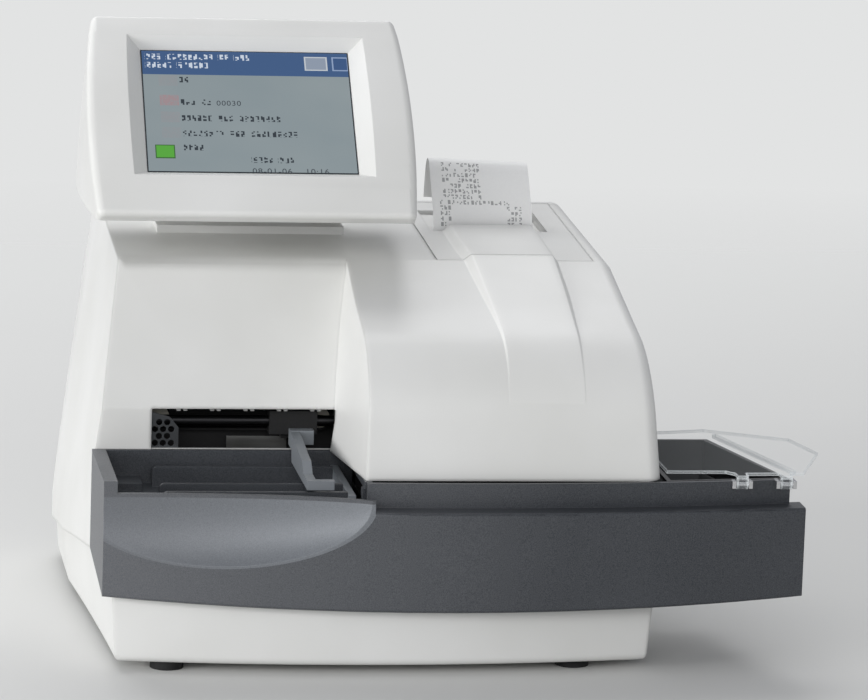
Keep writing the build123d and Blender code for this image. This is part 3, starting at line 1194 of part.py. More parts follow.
def rear_panel():
    """Metal plate behind the window in the back, cut for inlet, switch, ports and fan."""
    y0, y1 = BODY_BACK - WALL - FRAME_SHEET, BODY_BACK - WALL
    plate = block(PANEL_LEFT, PANEL_RIGHT, y0, y1, PANEL_BOTTOM, PANEL_TOP)
    plate -= rod_y(FAN_X, y0 - 1, y1 + 1, FAN_Z, FAN_SIZE / 2 - 4)
    for angle in (0, 90):
        bar = Pos(FAN_X, (y0 + y1) / 2, FAN_Z) * Rot(0, angle + 45, 0) * Box(FAN_SIZE - 6, y1 - y0, 2)
        plate += bar
    ring = rod_y(FAN_X, y0, y1, FAN_Z, 17) - rod_y(FAN_X, y0 - 1, y1 + 1, FAN_Z, 15)
    plate += ring
    plate -= block(INLET_X - 14, INLET_X + 14, y0 - 1, y1 + 1, INLET_Z - 10, INLET_Z + 10)
    plate -= block(SWITCH_X - 7, SWITCH_X + 7, y0 - 1, y1 + 1, INLET_Z - 10, INLET_Z + 10)
    for x in PORTS_X:
        plate -= block(x - 9, x + 9, y0 - 1, y1 + 1, INLET_Z - 6, INLET_Z + 6)
    return plate


FAN_X = PANEL_LEFT + 36
FAN_Z = (PANEL_BOTTOM + PANEL_TOP) / 2
INLET_X = PANEL_RIGHT - 24
INLET_Z = 62.0
SWITCH_X = INLET_X - 25
PORTS_X = (-40.0, -16.0)


def fan_frame():
    y1 = BODY_BACK - WALL - FRAME_SHEET
    y0 = y1 - FAN_DEPTH
    frame = block(FAN_X - FAN_SIZE / 2, FAN_X + FAN_SIZE / 2, y0, y1, FAN_Z - FAN_SIZE / 2, FAN_Z + FAN_SIZE / 2)
    frame -= rod_y(FAN_X, y0 - 1, y1 + 1, FAN_Z, FAN_SIZE / 2 - 2)
    frame += rod_y(FAN_X, y0, y0 + 2.5, FAN_Z, 12)
    for angle in (45, 135):
        frame += Pos(FAN_X, y0 + 1.25, FAN_Z) * Rot(0, angle, 0) * Box(FAN_SIZE - 3, 2.5, 3)
    return frame + rod_y(FAN_X, y0, y0 + 11, FAN_Z, FAN_PIN)


FAN_PIN = 1.5


def fan_rotor():
    y0 = BODY_BACK - WALL - FRAME_SHEET - FAN_DEPTH + 3.2
    y1 = y0 + 9.5
    rotor = rod_y(FAN_X, y0, y1, FAN_Z, 11)
    blades = 7
    for i in range(blades):
        blade = Pos(0, 0, 18.5) * Rot(0, 0, 35) * Box(1.6, 9, 17)
        rotor += Pos(FAN_X, (y0 + y1) / 2, FAN_Z) * Rot(0, i * 360 / blades, 0) * blade
    return rotor - rod_y(FAN_X, y0 - 1, y0 + 8, FAN_Z, FAN_PIN + ROD_FIT)


def power_inlet():
    """Moulded mains unit: inlet with three pins, and the frame of the rocker switch."""
    y1 = BODY_BACK - WALL
    inlet = block(INLET_X - 13.8, INLET_X + 13.8, y1 - 24, y1 + 1.5, INLET_Z - 9.8, INLET_Z + 9.8)
    inlet += block(SWITCH_X - 6.8, SWITCH_X + 6.8, y1 - 16, y1 + 1.5, INLET_Z - 9.8, INLET_Z + 9.8)
    inlet += block(SWITCH_X - 9, INLET_X + 16, y1 - FRAME_SHEET - 2, y1 - FRAME_SHEET, INLET_Z - 12, INLET_Z + 12)
    inlet -= block(SWITCH_X - 5.3, SWITCH_X + 5.3, y1 - 12, y1 + 3, INLET_Z - 8.3, INLET_Z + 8.3)
    inlet += rod_x(SWITCH_X - 6, SWITCH_X + 6, SWITCH_Y, INLET_Z, SWITCH_PIN)
    inlet -= block(INLET_X - 11.5, INLET_X + 11.5, y1 - 16, y1 + 2, INLET_Z - 7.5, INLET_Z + 7.5)
    for dx, dz in ((-7, -2), (0, 2), (7, -2)):
        inlet += block(INLET_X + dx - 1, INLET_X + dx + 1, y1 - 17, y1 - 6, INLET_Z + dz - 2, INLET_Z + dz + 2)
    return inlet


SWITCH_PIN = 1.0
SWITCH_Y = BODY_BACK - WALL - 4.0


def power_switch():
    """Rocker that tips about its middle."""
    face = polygon((SWITCH_Y - 3.5, INLET_Z - 4), (SWITCH_Y - 3.5, INLET_Z + 4), (SWITCH_Y + 3.5, INLET_Z + 7.2),
                   (SWITCH_Y + 4.3, INLET_Z + 6.8), (SWITCH_Y + 3.2, INLET_Z), (SWITCH_Y + 4.3, INLET_Z - 6.8), (SWITCH_Y + 3.5, INLET_Z - 7.2))
    rocker = side_plate(face, SWITCH_X - 4.9, SWITCH_X + 4.9)
    return rocker - rod_x(SWITCH_X - 6, SWITCH_X + 6, SWITCH_Y, INLET_Z, SWITCH_PIN + ROD_FIT)


def port_connectors():
    """Two data sockets on a small carrier board behind the panel."""
    y1 = BODY_BACK - WALL
    ports = block(PORTS_X[0] - 12, PORTS_X[1] + 12, y1 - FRAME_SHEET - 3, y1 - FRAME_SHEET, INLET_Z - 10, INLET_Z + 10)
    for x in PORTS_X:
        ports += block(x - 8.5, x + 8.5, y1 - 14, y1 + 2.5, INLET_Z - 5.5, INLET_Z + 5.5)
        ports -= block(x - 6.5, x + 6.5, y1 - 5, y1 + 3, INLET_Z - 3.5, INLET_Z + 3.5)
    return ports


def rubber_feet():
    feet = Part()
    for x, y in FEET:
        feet += rod_z(x, y, 0, FOOT_HEIGHT, FOOT_RADIUS)
    return feet


def case_screws():
    """Pan heads on the chassis and flat heads in the underside, at each post."""
    screws = Part()
    for x, y in CHASSIS_POSTS:
        screws += rod_z(x, y, CHASSIS_TOP, CHASSIS_TOP + 2.2, 3.5)
        screws += rod_z(x, y, FOOT_HEIGHT - 1.6, FOOT_HEIGHT, 3.2)
    return screws


builders = [
    lower_housing, upper_housing, front_fascia, rubber_feet, case_screws, chassis_plate,
    loading_tray, tray_guide_rail, strip_platform, moving_table, table_lift_frame, table_motor,
    rail_brackets, guide_rods, push_carriage, push_bar, drive_belts, push_drive_pulley, push_idler_pulley,
    motor_plate, push_motor, perforated_bracket,
    gantry_frame, read_head, read_head_window, head_drive_pulley, head_idler_pulley, head_motor,
    waste_well, waste_liner, waste_cover, waste_hinge_pins,
    display_bezel, display_rear_shell, display_neck, display_hinge_pin, touch_panel, lcd_module,
    printer_frame, paper_roll, paper_spindle, platen_roller, platen_shaft, platen_gear,
    printer_motor, printer_drive_gear, print_head, tear_bar, paper_strip, printer_cover, printer_cover_pins,
    main_board, power_supply, rear_panel, fan_frame, fan_rotor, power_inlet, power_switch, port_connectors,
]

for make in builders:
    pieces[make.__name__] = make()

# the origin goes to the middle of the footprint
corner_low, corner_high = [], []
for shape in pieces.values():
    extent = shape.bounding_box()
    corner_low.append(tuple(extent.min))
    corner_high.append(tuple(extent.max))
middle_x = (min(c[0] for c in corner_low) + max(c[0] for c in corner_high)) / 2
middle_y = (min(c[1] for c in corner_low) + max(c[1] for c in corner_high)) / 2
print(f"{len(pieces)} pieces, origin moved by {-middle_x:.3f}, {-middle_y:.3f}")

for name, shape in pieces.items():
    export_step(Pos(-middle_x, -middle_y, 0) * shape, f"parts/{name}.step")
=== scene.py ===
"""Looks of a bench-top urine strip analyzer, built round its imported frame."""

from math import cos, pi, radians, sin, sqrt

import bmesh
import bpy
from mathutils import Matrix, Vector


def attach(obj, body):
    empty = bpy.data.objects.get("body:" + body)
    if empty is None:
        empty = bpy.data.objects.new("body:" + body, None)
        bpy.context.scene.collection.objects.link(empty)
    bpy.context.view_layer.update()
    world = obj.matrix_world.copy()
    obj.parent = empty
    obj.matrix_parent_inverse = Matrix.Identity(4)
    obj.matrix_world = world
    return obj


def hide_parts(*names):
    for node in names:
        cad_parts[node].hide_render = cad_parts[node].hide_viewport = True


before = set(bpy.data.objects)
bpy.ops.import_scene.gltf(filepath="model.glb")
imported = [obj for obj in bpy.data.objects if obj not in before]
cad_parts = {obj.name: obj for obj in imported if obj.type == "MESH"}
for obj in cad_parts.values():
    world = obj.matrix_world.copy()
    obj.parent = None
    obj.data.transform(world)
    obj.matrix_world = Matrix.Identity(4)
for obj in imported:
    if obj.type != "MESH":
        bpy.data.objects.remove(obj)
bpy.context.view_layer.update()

# Places are in millimetres in the part's own frame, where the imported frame's origin lies here.
ORIGIN = Vector((6.2, 166.0, 0.0))


def at(x, y, z):
    return (Vector((x, y, z)) - ORIGIN) / 1000


def srgb(red, green, blue):
    """A colour as read off a screen, 0 to 255, made linear."""
    def linear(level):
        level /= 255
        return level / 12.92 if level <= 0.04045 else ((level + 0.055) / 1.055) ** 2.4
    return (linear(red), linear(green), linear(blue), 1.0)


# ------------------------------------------------------------------ shaders
class Wire:
    """A shader socket that Python arithmetic works on."""

    def __init__(self, tree, socket):
        self.tree = tree
        self.socket = socket

    def maths(self, operation, *terms):
        return self.tree.node("ShaderNodeMath", {"operation": operation}, dict(enumerate(terms)))

    def __add__(self, other):
        return self.maths("ADD", self, other)

    def __sub__(self, other):
        return self.maths("SUBTRACT", self, other)

    def __rsub__(self, other):
        return self.maths("SUBTRACT", other, self)

    def __mul__(self, other):
        return self.maths("MULTIPLY", self, other)

    def __truediv__(self, other):
        return self.maths("DIVIDE", self, other)

    def __gt__(self, other):
        return self.maths("GREATER_THAN", self, other)

    def __lt__(self, other):
        return self.maths("LESS_THAN", self, other)

    __radd__ = __add__
    __rmul__ = __mul__

    def floor(self):
        return self.maths("FLOOR", self)

    def fraction(self):
        return self.maths("FRACT", self)


class Tree:
    """A node tree, and the one way that a node gets into it."""

    def __init__(self, nodes, links):
        self.nodes = nodes
        self.links = links

    def node(self, kind, settings=None, sockets=None, output=0):
        made = self.nodes.new(kind)
        for key, value in (settings or {}).items():
            setattr(made, key, value)
        for key, value in (sockets or {}).items():
            self.join(value, made.inputs[key])
        return Wire(self, made.outputs[output])

    def join(self, value, socket):
        if isinstance(value, Wire):
            self.links.new(value.socket, socket)
        else:
            socket.default_value = value


class Finish(Tree):
    """A material whose Principled shader is set here and wired by its maker."""

    def __init__(self, name, **sockets):
        self.material = bpy.data.materials.new(name)
        self.material.use_nodes = True
        super().__init__(self.material.node_tree.nodes, self.material.node_tree.links)
        self.shader = self.nodes["Principled BSDF"]
        for key, value in sockets.items():
            self.put(key.replace("_", " "), value)
        self.place = self.node("ShaderNodeTexCoord", output="Object")

    def put(self, key, value):
        self.join(value, self.shader.inputs[key])

    def noise(self, scale, detail=2.0, rough=0.5, vector=None):
        sockets = {"Scale": scale, "Detail": detail, "Roughness": rough, "Vector": vector or self.place}
        return self.node("ShaderNodeTexNoise", None, sockets)

    def chance(self, across, down):
        """A number from 0 to 1 for each whole pair of across and down."""
        cell = self.node("ShaderNodeCombineXYZ", None, {0: across, 1: down})
        return self.node("ShaderNodeTexWhiteNoise", {"noise_dimensions": "2D"}, {"Vector": cell})

    def mix(self, factor, first, second):
        sockets = {0: factor, 6: first, 7: second}
        return self.node("ShaderNodeMix", {"data_type": "RGBA"}, sockets, output=2)

    def ramp(self, factor, low, high, dark=0.0, light=1.0):
        sockets = {"Value": factor, "From Min": low, "From Max": high, "To Min": dark, "To Max": light}
        return self.node("ShaderNodeMapRange", None, sockets)

    def axis(self, index, vector=None):
        return self.node("ShaderNodeSeparateXYZ", None, {0: vector or self.place}, output=index)

    def bump(self, height, strength, distance, normal=None):
        sockets = {"Height": height, "Strength": strength, "Distance": distance}
        if normal is not None:
            sockets["Normal"] = normal
        self.put("Normal", self.node("ShaderNodeBump", None, sockets))

    def soft_edges(self, radius):
        """Normals that turn over small edges as a moulded or deburred edge does."""
        return self.node("ShaderNodeBevel", {"samples": 4}, {"Radius": radius})


# ------------------------------------------------------------------ finishes
MOST_OF_NOISE = (0.3, 0.7)    # nearly all of a noise's levels lie between these two


def moulded(name, colour, shade, rough, grain, depth, edge=0.0004, flake=0.0, painted_light=None):
    """Moulded plastic: a spark-eroded grain, faint mottling and rounded small edges, with painted light
    laid on its tone where a finish gives it.
    """
    skin = Finish(name, Specular_IOR_Level=0.45 + flake)
    cloud = skin.noise(9.0, 3.0)
    speck = skin.noise(grain * 0.5, 2.0)
    tone = skin.mix(skin.ramp(cloud, 0.35, 0.65), colour, shade)
    # painted light, where given: the fascia's tone is made paler to the left and in its finger scoop
    if painted_light:
        tone = painted_light(skin, tone)
    fleck = skin.ramp(speck, *MOST_OF_NOISE, 0.0, 0.12)
    skin.put("Base Color", skin.mix(fleck, tone, shade))
    dull = skin.ramp(cloud * 0.5 + speck * 0.5, *MOST_OF_NOISE, rough - 0.05, rough + 0.06)
    skin.put("Roughness", dull)
    if flake:
        glint = skin.noise(2100.0, 1.0)
        skin.put("Metallic", skin.ramp(glint, 0.35, 0.75, 0.0, 2.0 * flake))
    pits = skin.noise(grain, 2.0, 0.6)
    skin.bump(pits, 0.35, depth, skin.soft_edges(edge))
    return skin.material


def sheet_steel(name, colour, rough, along=0):
    """Bright sheet with fine drawing lines along one axis."""
    steel = Finish(name, Metallic=1.0)
    stretch = [900.0, 900.0, 900.0]
    stretch[along] = 25.0
    scaled = steel.node("ShaderNodeMapping", None, {"Vector": steel.place, "Scale": stretch})
    lines = steel.noise(1.0, 3.0, 0.6, scaled)
    stain = steel.noise(40.0, 3.0)
    in_the_lines = tuple(level * 0.78 for level in colour[:3]) + (1.0,)
    steel.put("Base Color", steel.mix(lines, colour, in_the_lines))
    dull = steel.ramp(lines * 0.5 + stain * 0.5, *MOST_OF_NOISE, rough, rough + 0.16)
    steel.put("Roughness", dull)
    steel.bump(lines, 0.15, 0.00004, steel.soft_edges(0.0003))
    return steel.material


def clear_plastic():
    """Clear sheet: nearly unseen on its flats, with a painted highlight along its edges as a pale,
    nearly solid line.
    """
    clear = Finish("clear_acrylic", IOR=1.49, Specular_IOR_Level=0.5)
    haze = clear.noise(30.0, 3.0)
    clear.put("Base Color", clear.mix(haze, srgb(236, 240, 241), srgb(214, 220, 222)))
    clear.put("Roughness", clear.ramp(haze, *MOST_OF_NOISE, 0.05, 0.12))
    flat = clear.node("ShaderNodeNewGeometry", output="Normal")
    away_from_edges = clear.node("ShaderNodeVectorMath", {"operation": "DOT_PRODUCT"},
                                 {0: flat, 1: clear.soft_edges(0.0018)}, output="Value")
    # painted highlight: near its edges the pale sheet turns nearly solid
    clear.put("Alpha", clear.ramp(away_from_edges, 0.88, 0.998, 0.95, 0.06))
    return clear.material


def plain_paper():
    paper = Finish("thermal_paper", Roughness=0.75, Specular_IOR_Level=0.2)
    fibre = paper.noise(700.0, 3.0, 0.7)
    cloud = paper.noise(30.0, 2.0)
    tone = paper.mix(fibre * 0.4 + cloud * 0.4, srgb(238, 238, 237), srgb(222, 222, 220))
    paper.put("Base Color", tone)
    paper.bump(fibre, 0.2, 0.00005)
    return paper.material


def circuit_board():
    board = Finish("solder_mask", Roughness=0.35, Specular_IOR_Level=0.5)
    cells = board.node("ShaderNodeTexVoronoi", {"distance": "CHEBYCHEV"},
                       {"Vector": board.place, "Scale": 190.0})
    board.put("Base Color", board.mix(board.ramp(cells, 0.25, 0.3), srgb(24, 92, 48), srgb(14, 62, 34)))
    board.bump(cells, 0.2, 0.0001)
    return board.material


# Where painted light goes on the fascia: the finger scoop, given as an ellipsoid, and the left end.
SCOOP_MIDDLE = (-170.0, -10.0, 95.0)
SCOOP_RADII = (132.6, 28.0, 46.8)
SCOOP_SPREAD = 1.04           # just past the scoop's own surface
SCOOP_TOP = 95.6
SCOOP_RIGHT = -40.0
PAINTED_LIGHT_FROM, PAINTED_LIGHT_TO = 60.0, -190.0    # where the painted light to the left starts and is full


def painted_light_on_fascia(skin, tone):
    """The fascia's painted light: paler towards the left, where light from the left falls, and paler
    still in the finger scoop, most on its right side, which faces that light.
    """
    x, y, z = (skin.axis(index) * 1000.0 + ORIGIN[index] for index in range(3))
    bowl = 0.0
    for place, middle, radius in zip((x, y, z), SCOOP_MIDDLE, SCOOP_RADII):
        share = (place - middle) / radius
        bowl = bowl + share * share
    inside = (bowl < SCOOP_SPREAD) * (z < SCOOP_TOP) * (x < SCOOP_RIGHT)
    # painted light: the fascia is paler towards its left end, where light from the left falls on it
    left = skin.mix(skin.ramp(x, PAINTED_LIGHT_TO, PAINTED_LIGHT_FROM, 1.0, 0.0), tone, srgb(96, 98, 102))
    # painted light in the scoop, strongest on its right side, which faces the light from the left
    scoop_light_share = skin.ramp(x, SCOOP_MIDDLE[0], -70.0, 0.55, 1.0)
    return skin.mix(inside * scoop_light_share, left, srgb(118, 122, 127))


HOUSING = {"colour": srgb(226, 226, 224), "shade": srgb(217, 217, 214), "rough": 0.42,
           "grain": 2600.0, "depth": 0.00006}
FLECKED = {"rough": 0.42, "grain": 2300.0, "depth": 0.00008, "edge": 0.0006, "flake": 0.35}

WHITE = moulded("white_housing", edge=0.0006, **HOUSING)
SHELL = moulded("white_shell", edge=0.003, **HOUSING)
GREY = moulded("grey_fascia", srgb(68, 71, 76), srgb(60, 63, 68), **FLECKED)
# the fascia's colour holds painted light as well as its grain: paler to the left and in the finger
# scoop
FASCIA = moulded("fascia_grain_painted_light", srgb(64, 67, 72), srgb(56, 59, 64), painted_light=painted_light_on_fascia, **FLECKED)
PALE = moulded("mid_grey", srgb(128, 133, 138), srgb(116, 120, 125), 0.42, 2200.0, 0.00006, 0.0005)
BLACK = moulded("black_plastic", srgb(26, 26, 28), srgb(17, 17, 19), 0.38, 1800.0, 0.00008, 0.0005)
MATT_BLACK = moulded("matt_black", srgb(13, 13, 14), srgb(9, 9, 10), 0.6, 1500.0, 0.00006)
LINER = moulded("bin_liner", srgb(98, 100, 101), srgb(82, 84, 85), 0.33, 1500.0, 0.00006, 0.0008)
RUBBER = moulded("soft_rubber", srgb(30, 30, 31), srgb(21, 21, 22), 0.8, 900.0, 0.00015, 0.0006)
NYLON = moulded("natural_nylon", srgb(221, 218, 206), srgb(206, 202, 188), 0.45, 1400.0, 0.00006)
STEEL = sheet_steel("zinc_sheet", (0.62, 0.63, 0.64, 1.0), 0.3)
DARK_SHEET = sheet_steel("dull_sheet", (0.10, 0.105, 0.11, 1.0), 0.42)
WORN_PLATE = sheet_steel("worn_plate", (0.30, 0.30, 0.29, 1.0), 0.24)
ROD = sheet_steel("ground_rod", (0.70, 0.70, 0.71, 1.0), 0.14)
DARK_ROD = sheet_steel("blackened_rod", (0.035, 0.035, 0.037, 1.0), 0.3)
CAN = sheet_steel("motor_can", (0.09, 0.09, 0.10, 1.0), 0.4, along=2)
LENS = sheet_steel("lens_window", (0.05, 0.10, 0.12, 1.0), 0.05)
CLEAR = clear_plastic()
PAPER = plain_paper()
BOARD = circuit_board()

CAD_FINISH = {
    "lower_housing": SHELL, "upper_housing": SHELL, "printer_cover": WHITE, "display_bezel": WHITE,
    "display_rear_shell": WHITE, "display_neck": WHITE,
    "front_fascia": FASCIA, "loading_tray": GREY, "strip_platform": BLACK, "moving_table": BLACK,
    "push_bar": PALE, "tray_guide_rail": PALE,
    "push_carriage": MATT_BLACK, "table_lift_frame": BLACK, "read_head": BLACK, "waste_well": BLACK,
    "power_inlet": BLACK, "power_switch": BLACK, "port_connectors": BLACK, "fan_frame": BLACK,
    "fan_rotor": BLACK, "print_head": BLACK, "touch_panel": BLACK,
    "waste_liner": LINER, "waste_cover": CLEAR,
    "chassis_plate": STEEL, "rail_brackets": DARK_SHEET, "motor_plate": MATT_BLACK,
    "gantry_frame": STEEL, "printer_frame": STEEL, "rear_panel": STEEL, "power_supply": STEEL,
    "tear_bar": STEEL, "perforated_bracket": DARK_SHEET, "guide_rods": DARK_ROD,
    "case_screws": ROD, "display_hinge_pin": ROD, "waste_hinge_pins": ROD,
    "printer_cover_pins": ROD, "platen_shaft": ROD,
    "push_motor": CAN, "head_motor": CAN, "table_motor": CAN, "printer_motor": CAN,
    "rubber_feet": RUBBER, "platen_roller": RUBBER, "drive_belts": RUBBER,
    "push_drive_pulley": NYLON, "push_idler_pulley": NYLON, "head_drive_pulley": NYLON,
    "head_idler_pulley": NYLON, "platen_gear": NYLON, "printer_drive_gear": NYLON,
    "paper_spindle": NYLON,
    "read_head_window": LENS, "lcd_module": BOARD, "main_board": BOARD,
    "paper_roll": PAPER, "paper_strip": PAPER,
}

for node, material in CAD_FINISH.items():
    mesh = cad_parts[node].data
    mesh.materials.clear()
    mesh.materials.append(material)


# ------------------------------------------------------------------ making pieces
def finish_piece(name, shape, material, body, sharp=35.0):
    """Turn a bmesh into a piece that rides on a body, smooth but for its sharp edges."""
    for face in shape.faces:
        face.smooth = True
    for edge in shape.edges:
        edge.smooth = edge.is_manifold and edge.calc_face_angle(pi) < radians(sharp)
    mesh = bpy.data.meshes.new(name)
    shape.to_mesh(mesh)
    shape.free()
    mesh.materials.append(material)
    piece = bpy.data.objects.new(name, mesh)
    bpy.context.scene.collection.objects.link(piece)
    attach(piece, body)
    return piece


def node_shape(node):
    """A merged copy of a node's mesh, its flat faces whole again."""
    shape = bmesh.new()
    shape.from_mesh(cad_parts[node].data)
    bmesh.ops.remove_doubles(shape, verts=shape.verts, dist=1e-6)
    bmesh.ops.dissolve_limit(shape, angle_limit=radians(0.5), verts=shape.verts, edges=shape.edges)
    return shape


def cut_across(shape, place, way, clear_below=False):
    """Cut edges and faces where a plane crosses them, and clear what is below it if asked."""
    every = shape.verts[:] + shape.edges[:] + shape.faces[:]
    bmesh.ops.bisect_plane(shape, geom=every, plane_co=place, plane_no=way, clear_inner=clear_below)


def new_points(made):
    return [item for item in made["geom"] if isinstance(item, bmesh.types.BMVert)]


def eased(value):
    """0 to 1, slow at both ends, and held outside them."""
    value = min(max(value, 0.0), 1.0)
    return value * value * (3 - 2 * value)


# ------------------------------------------------------------------ display
LEAN = radians(47.5)
SCREEN_MIDDLE = (-100.0, 169.0, 279.0)
FACE_UP = Vector((0, sin(LEAN), cos(LEAN)))
FACE_OUT = Vector((0, -cos(LEAN), sin(LEAN)))


def face_point(u, v, w):
    """A point of the display: right and up along the face, and out of it."""
    x, y, z = SCREEN_MIDDLE
    return at(x + u, y + v * sin(LEAN) - w * cos(LEAN), z + v * cos(LEAN) + w * sin(LEAN))


def face_place(point):
    """The same three numbers read back from a point."""
    x, y, z = point * 1000 + ORIGIN - Vector(SCREEN_MIDDLE)
    return x, y * sin(LEAN) + z * cos(LEAN), -y * cos(LEAN) + z * sin(LEAN)


SIDE_FROM, SIDE_LENGTH = 74, 10      # where the sides start, and over how much the bow comes in
BOW, BOW_MIDDLE, BOW_REACH = 4.0, -14, 72
TOP_FROM, TOP_LENGTH, TOP_DROP = 52, 14, 5.2
RECESS_SIDE, RECESS_TOP, RECESS_DROP = 70, (45, 56), 2.7


def bowed_display(node, name):
    """The display's moulding with its sides bowed out and its top edge set down."""
    shape = node_shape(node)
    for v in range(-70, 70, 10):
        cut_across(shape, face_point(0, v, 0), FACE_UP)
    for vert in shape.verts:
        u, v, w = face_place(vert.co)
        side = min(max((abs(u) - SIDE_FROM) / SIDE_LENGTH, 0), 1)
        swell = BOW * (1 - ((v - BOW_MIDDLE) / BOW_REACH) ** 2) if abs(u) > SIDE_FROM else 0.0
        drop = TOP_DROP * min(max((v - TOP_FROM) / TOP_LENGTH, 0), 1)
        if abs(u) < RECESS_SIDE and RECESS_TOP[0] < v < RECESS_TOP[1]:
            drop += RECESS_DROP
        vert.co = face_point(u + (swell if u > 0 else -swell) * side, v - drop, w)
    return finish_piece(name, shape, WHITE, "display", 28)


bezel = bowed_display("display_bezel", "display_front")
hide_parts("display_bezel")
back_shell = bowed_display("display_rear_shell", "display_back")
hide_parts("display_rear_shell")

# Places on the screen are in millimetres to the right of and down from its top left corner.
SCREEN_SIZE = (115.2, 86.4)
SCREEN_LIFT = 0.2
SCREEN_THICK = 0.3
MARK = 2.9                    # width of one mark and its gap
MARK_HEIGHT = 4.0
INKED = 0.667                 # share of a mark's width that its dots fill
TEXT_LEFT = 20.5
HEADER_DEPTH = 17.4
RIM = 0.5
# rows of marks: left end, top, and how many marks are in each group
HEADER_ROWS = [(2.0, 2.6, (3, 9, 2, 3)), (2.0, 8.6, (5, 6))]
BODY_ROWS = [(TEXT_LEFT, 19.0, (2,)), (TEXT_LEFT, 35.0, (3, 2)), (TEXT_LEFT, 46.4, (6, 3, 8)),
             (TEXT_LEFT, 57.2, (8, 3, 9)), (TEXT_LEFT, 67.2, (4,)), (57.0, 75.4, (4, 3))]
# boxes beside the rows: left, top and how strong their tint is
SIDE_BOXES = [(9.0, 18.0, 0.1), (9.0, 32.0, 0.5), (9.0, 44.0, 0.12), (9.0, 55.0, 0.08)]
SIDE_BOX_SIZE = (10.5, 7.5)
# buttons, each an edge and a face in it: left, top, right, bottom and colour
BUTTONS = [((4.8, 67.4, 15.6, 77.0), srgb(60, 108, 52)), ((5.4, 68.0, 15.0, 76.2), srgb(92, 176, 64)),
           ((90.6, 3.2, 103.4, 13.2), srgb(206, 212, 218)),
           ((91.4, 4.0, 102.6, 12.4), srgb(150, 162, 180)),
           ((106.0, 3.2, 115.2, 13.2), srgb(152, 172, 206)),
           ((106.8, 4.0, 114.4, 12.4), srgb(62, 92, 138))]
# plain numbers: what they read, left end, foot and size
NUMBERS = [("00030", 40.0, 39.2, 5.0), ("08-01-06", 57.0, 87.0, 5.4), ("10:16", 86.0, 87.0, 5.4)]
NUMBERS_LIFT = 0.56


def screen_picture():
    """What the screen shows: a blue header, rows of marks that spell nothing, and buttons."""
    lit = Finish("lit_screen", Roughness=0.16, Specular_IOR_Level=0.4, Emission_Strength=0.8)
    sheet = lit.node("ShaderNodeUVMap", {"uv_map": "UVMap"})
    across = lit.axis(0, sheet) * SCREEN_SIZE[0]
    down = (1.0 - lit.axis(1, sheet)) * SCREEN_SIZE[1]
    from_text = across - TEXT_LEFT

    def box(left, top, right, bottom):
        return (across > left) * (across < right) * (down > top) * (down < bottom)

    spots = lit.chance((from_text / (MARK / 3)).floor(), down.floor()) > 0.42
    marks = spots * ((from_text / MARK).fraction() < INKED)

    def rows(entries):
        total = 0.0
        for left, top, groups in entries:
            for count in groups:
                right = left + count * MARK
                total = total + box(left, top, right, top + MARK_HEIGHT)
                left = right + MARK
        return total * marks

    ground = lit.mix(lit.noise(2.2, 2.0, vector=sheet), srgb(137, 151, 157), srgb(156, 166, 169))
    colour = lit.mix(down < HEADER_DEPTH, ground, srgb(66, 96, 140))
    tint = 0.0
    for left, top, strength in SIDE_BOXES:
        tint = tint + box(left, top, left + SIDE_BOX_SIZE[0], top + SIDE_BOX_SIZE[1]) * strength
    colour = lit.mix(tint * (0.7 + 0.5 * spots), colour, srgb(178, 138, 142))
    for corners, tone in BUTTONS:
        colour = lit.mix(box(*corners), colour, tone)
    colour = lit.mix(rows(HEADER_ROWS), colour, srgb(216, 226, 240))
    colour = lit.mix(rows(BODY_ROWS), colour, srgb(52, 60, 68))
    rim = 1.0 - box(RIM, RIM, SCREEN_SIZE[0] - RIM, SCREEN_SIZE[1] - RIM)
    colour = lit.mix(rim, colour, srgb(42, 48, 54))
    lit.put("Base Color", lit.mix(0.96, colour, (0, 0, 0, 1)))
    lit.put("Emission Color", colour)
    lit.bump(lit.noise(420.0, 1.0), 0.04, 0.00003)
    return lit.material


def screen():
    shape = bmesh.new()
    bmesh.ops.create_grid(shape, x_segments=1, y_segments=1, size=0.5, calc_uvs=False)
    uv = shape.loops.layers.uv.new("UVMap")
    for face in shape.faces:
        for loop in face.loops:
            loop[uv].uv = (loop.vert.co.x + 0.5, loop.vert.co.y + 0.5)
    for vert in shape.verts:
        vert.co = face_point(vert.co.x * SCREEN_SIZE[0], vert.co.y * SCREEN_SIZE[1], SCREEN_LIFT)
    front = new_points(bmesh.ops.extrude_face_region(shape, geom=shape.faces[:]))
    bmesh.ops.translate(shape, verts=front, vec=FACE_OUT * SCREEN_THICK / 1000)
    bmesh.ops.recalc_face_normals(shape, faces=shape.faces)
    piece = finish_piece("screen", shape, screen_picture(), "display")
    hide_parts("touch_panel")


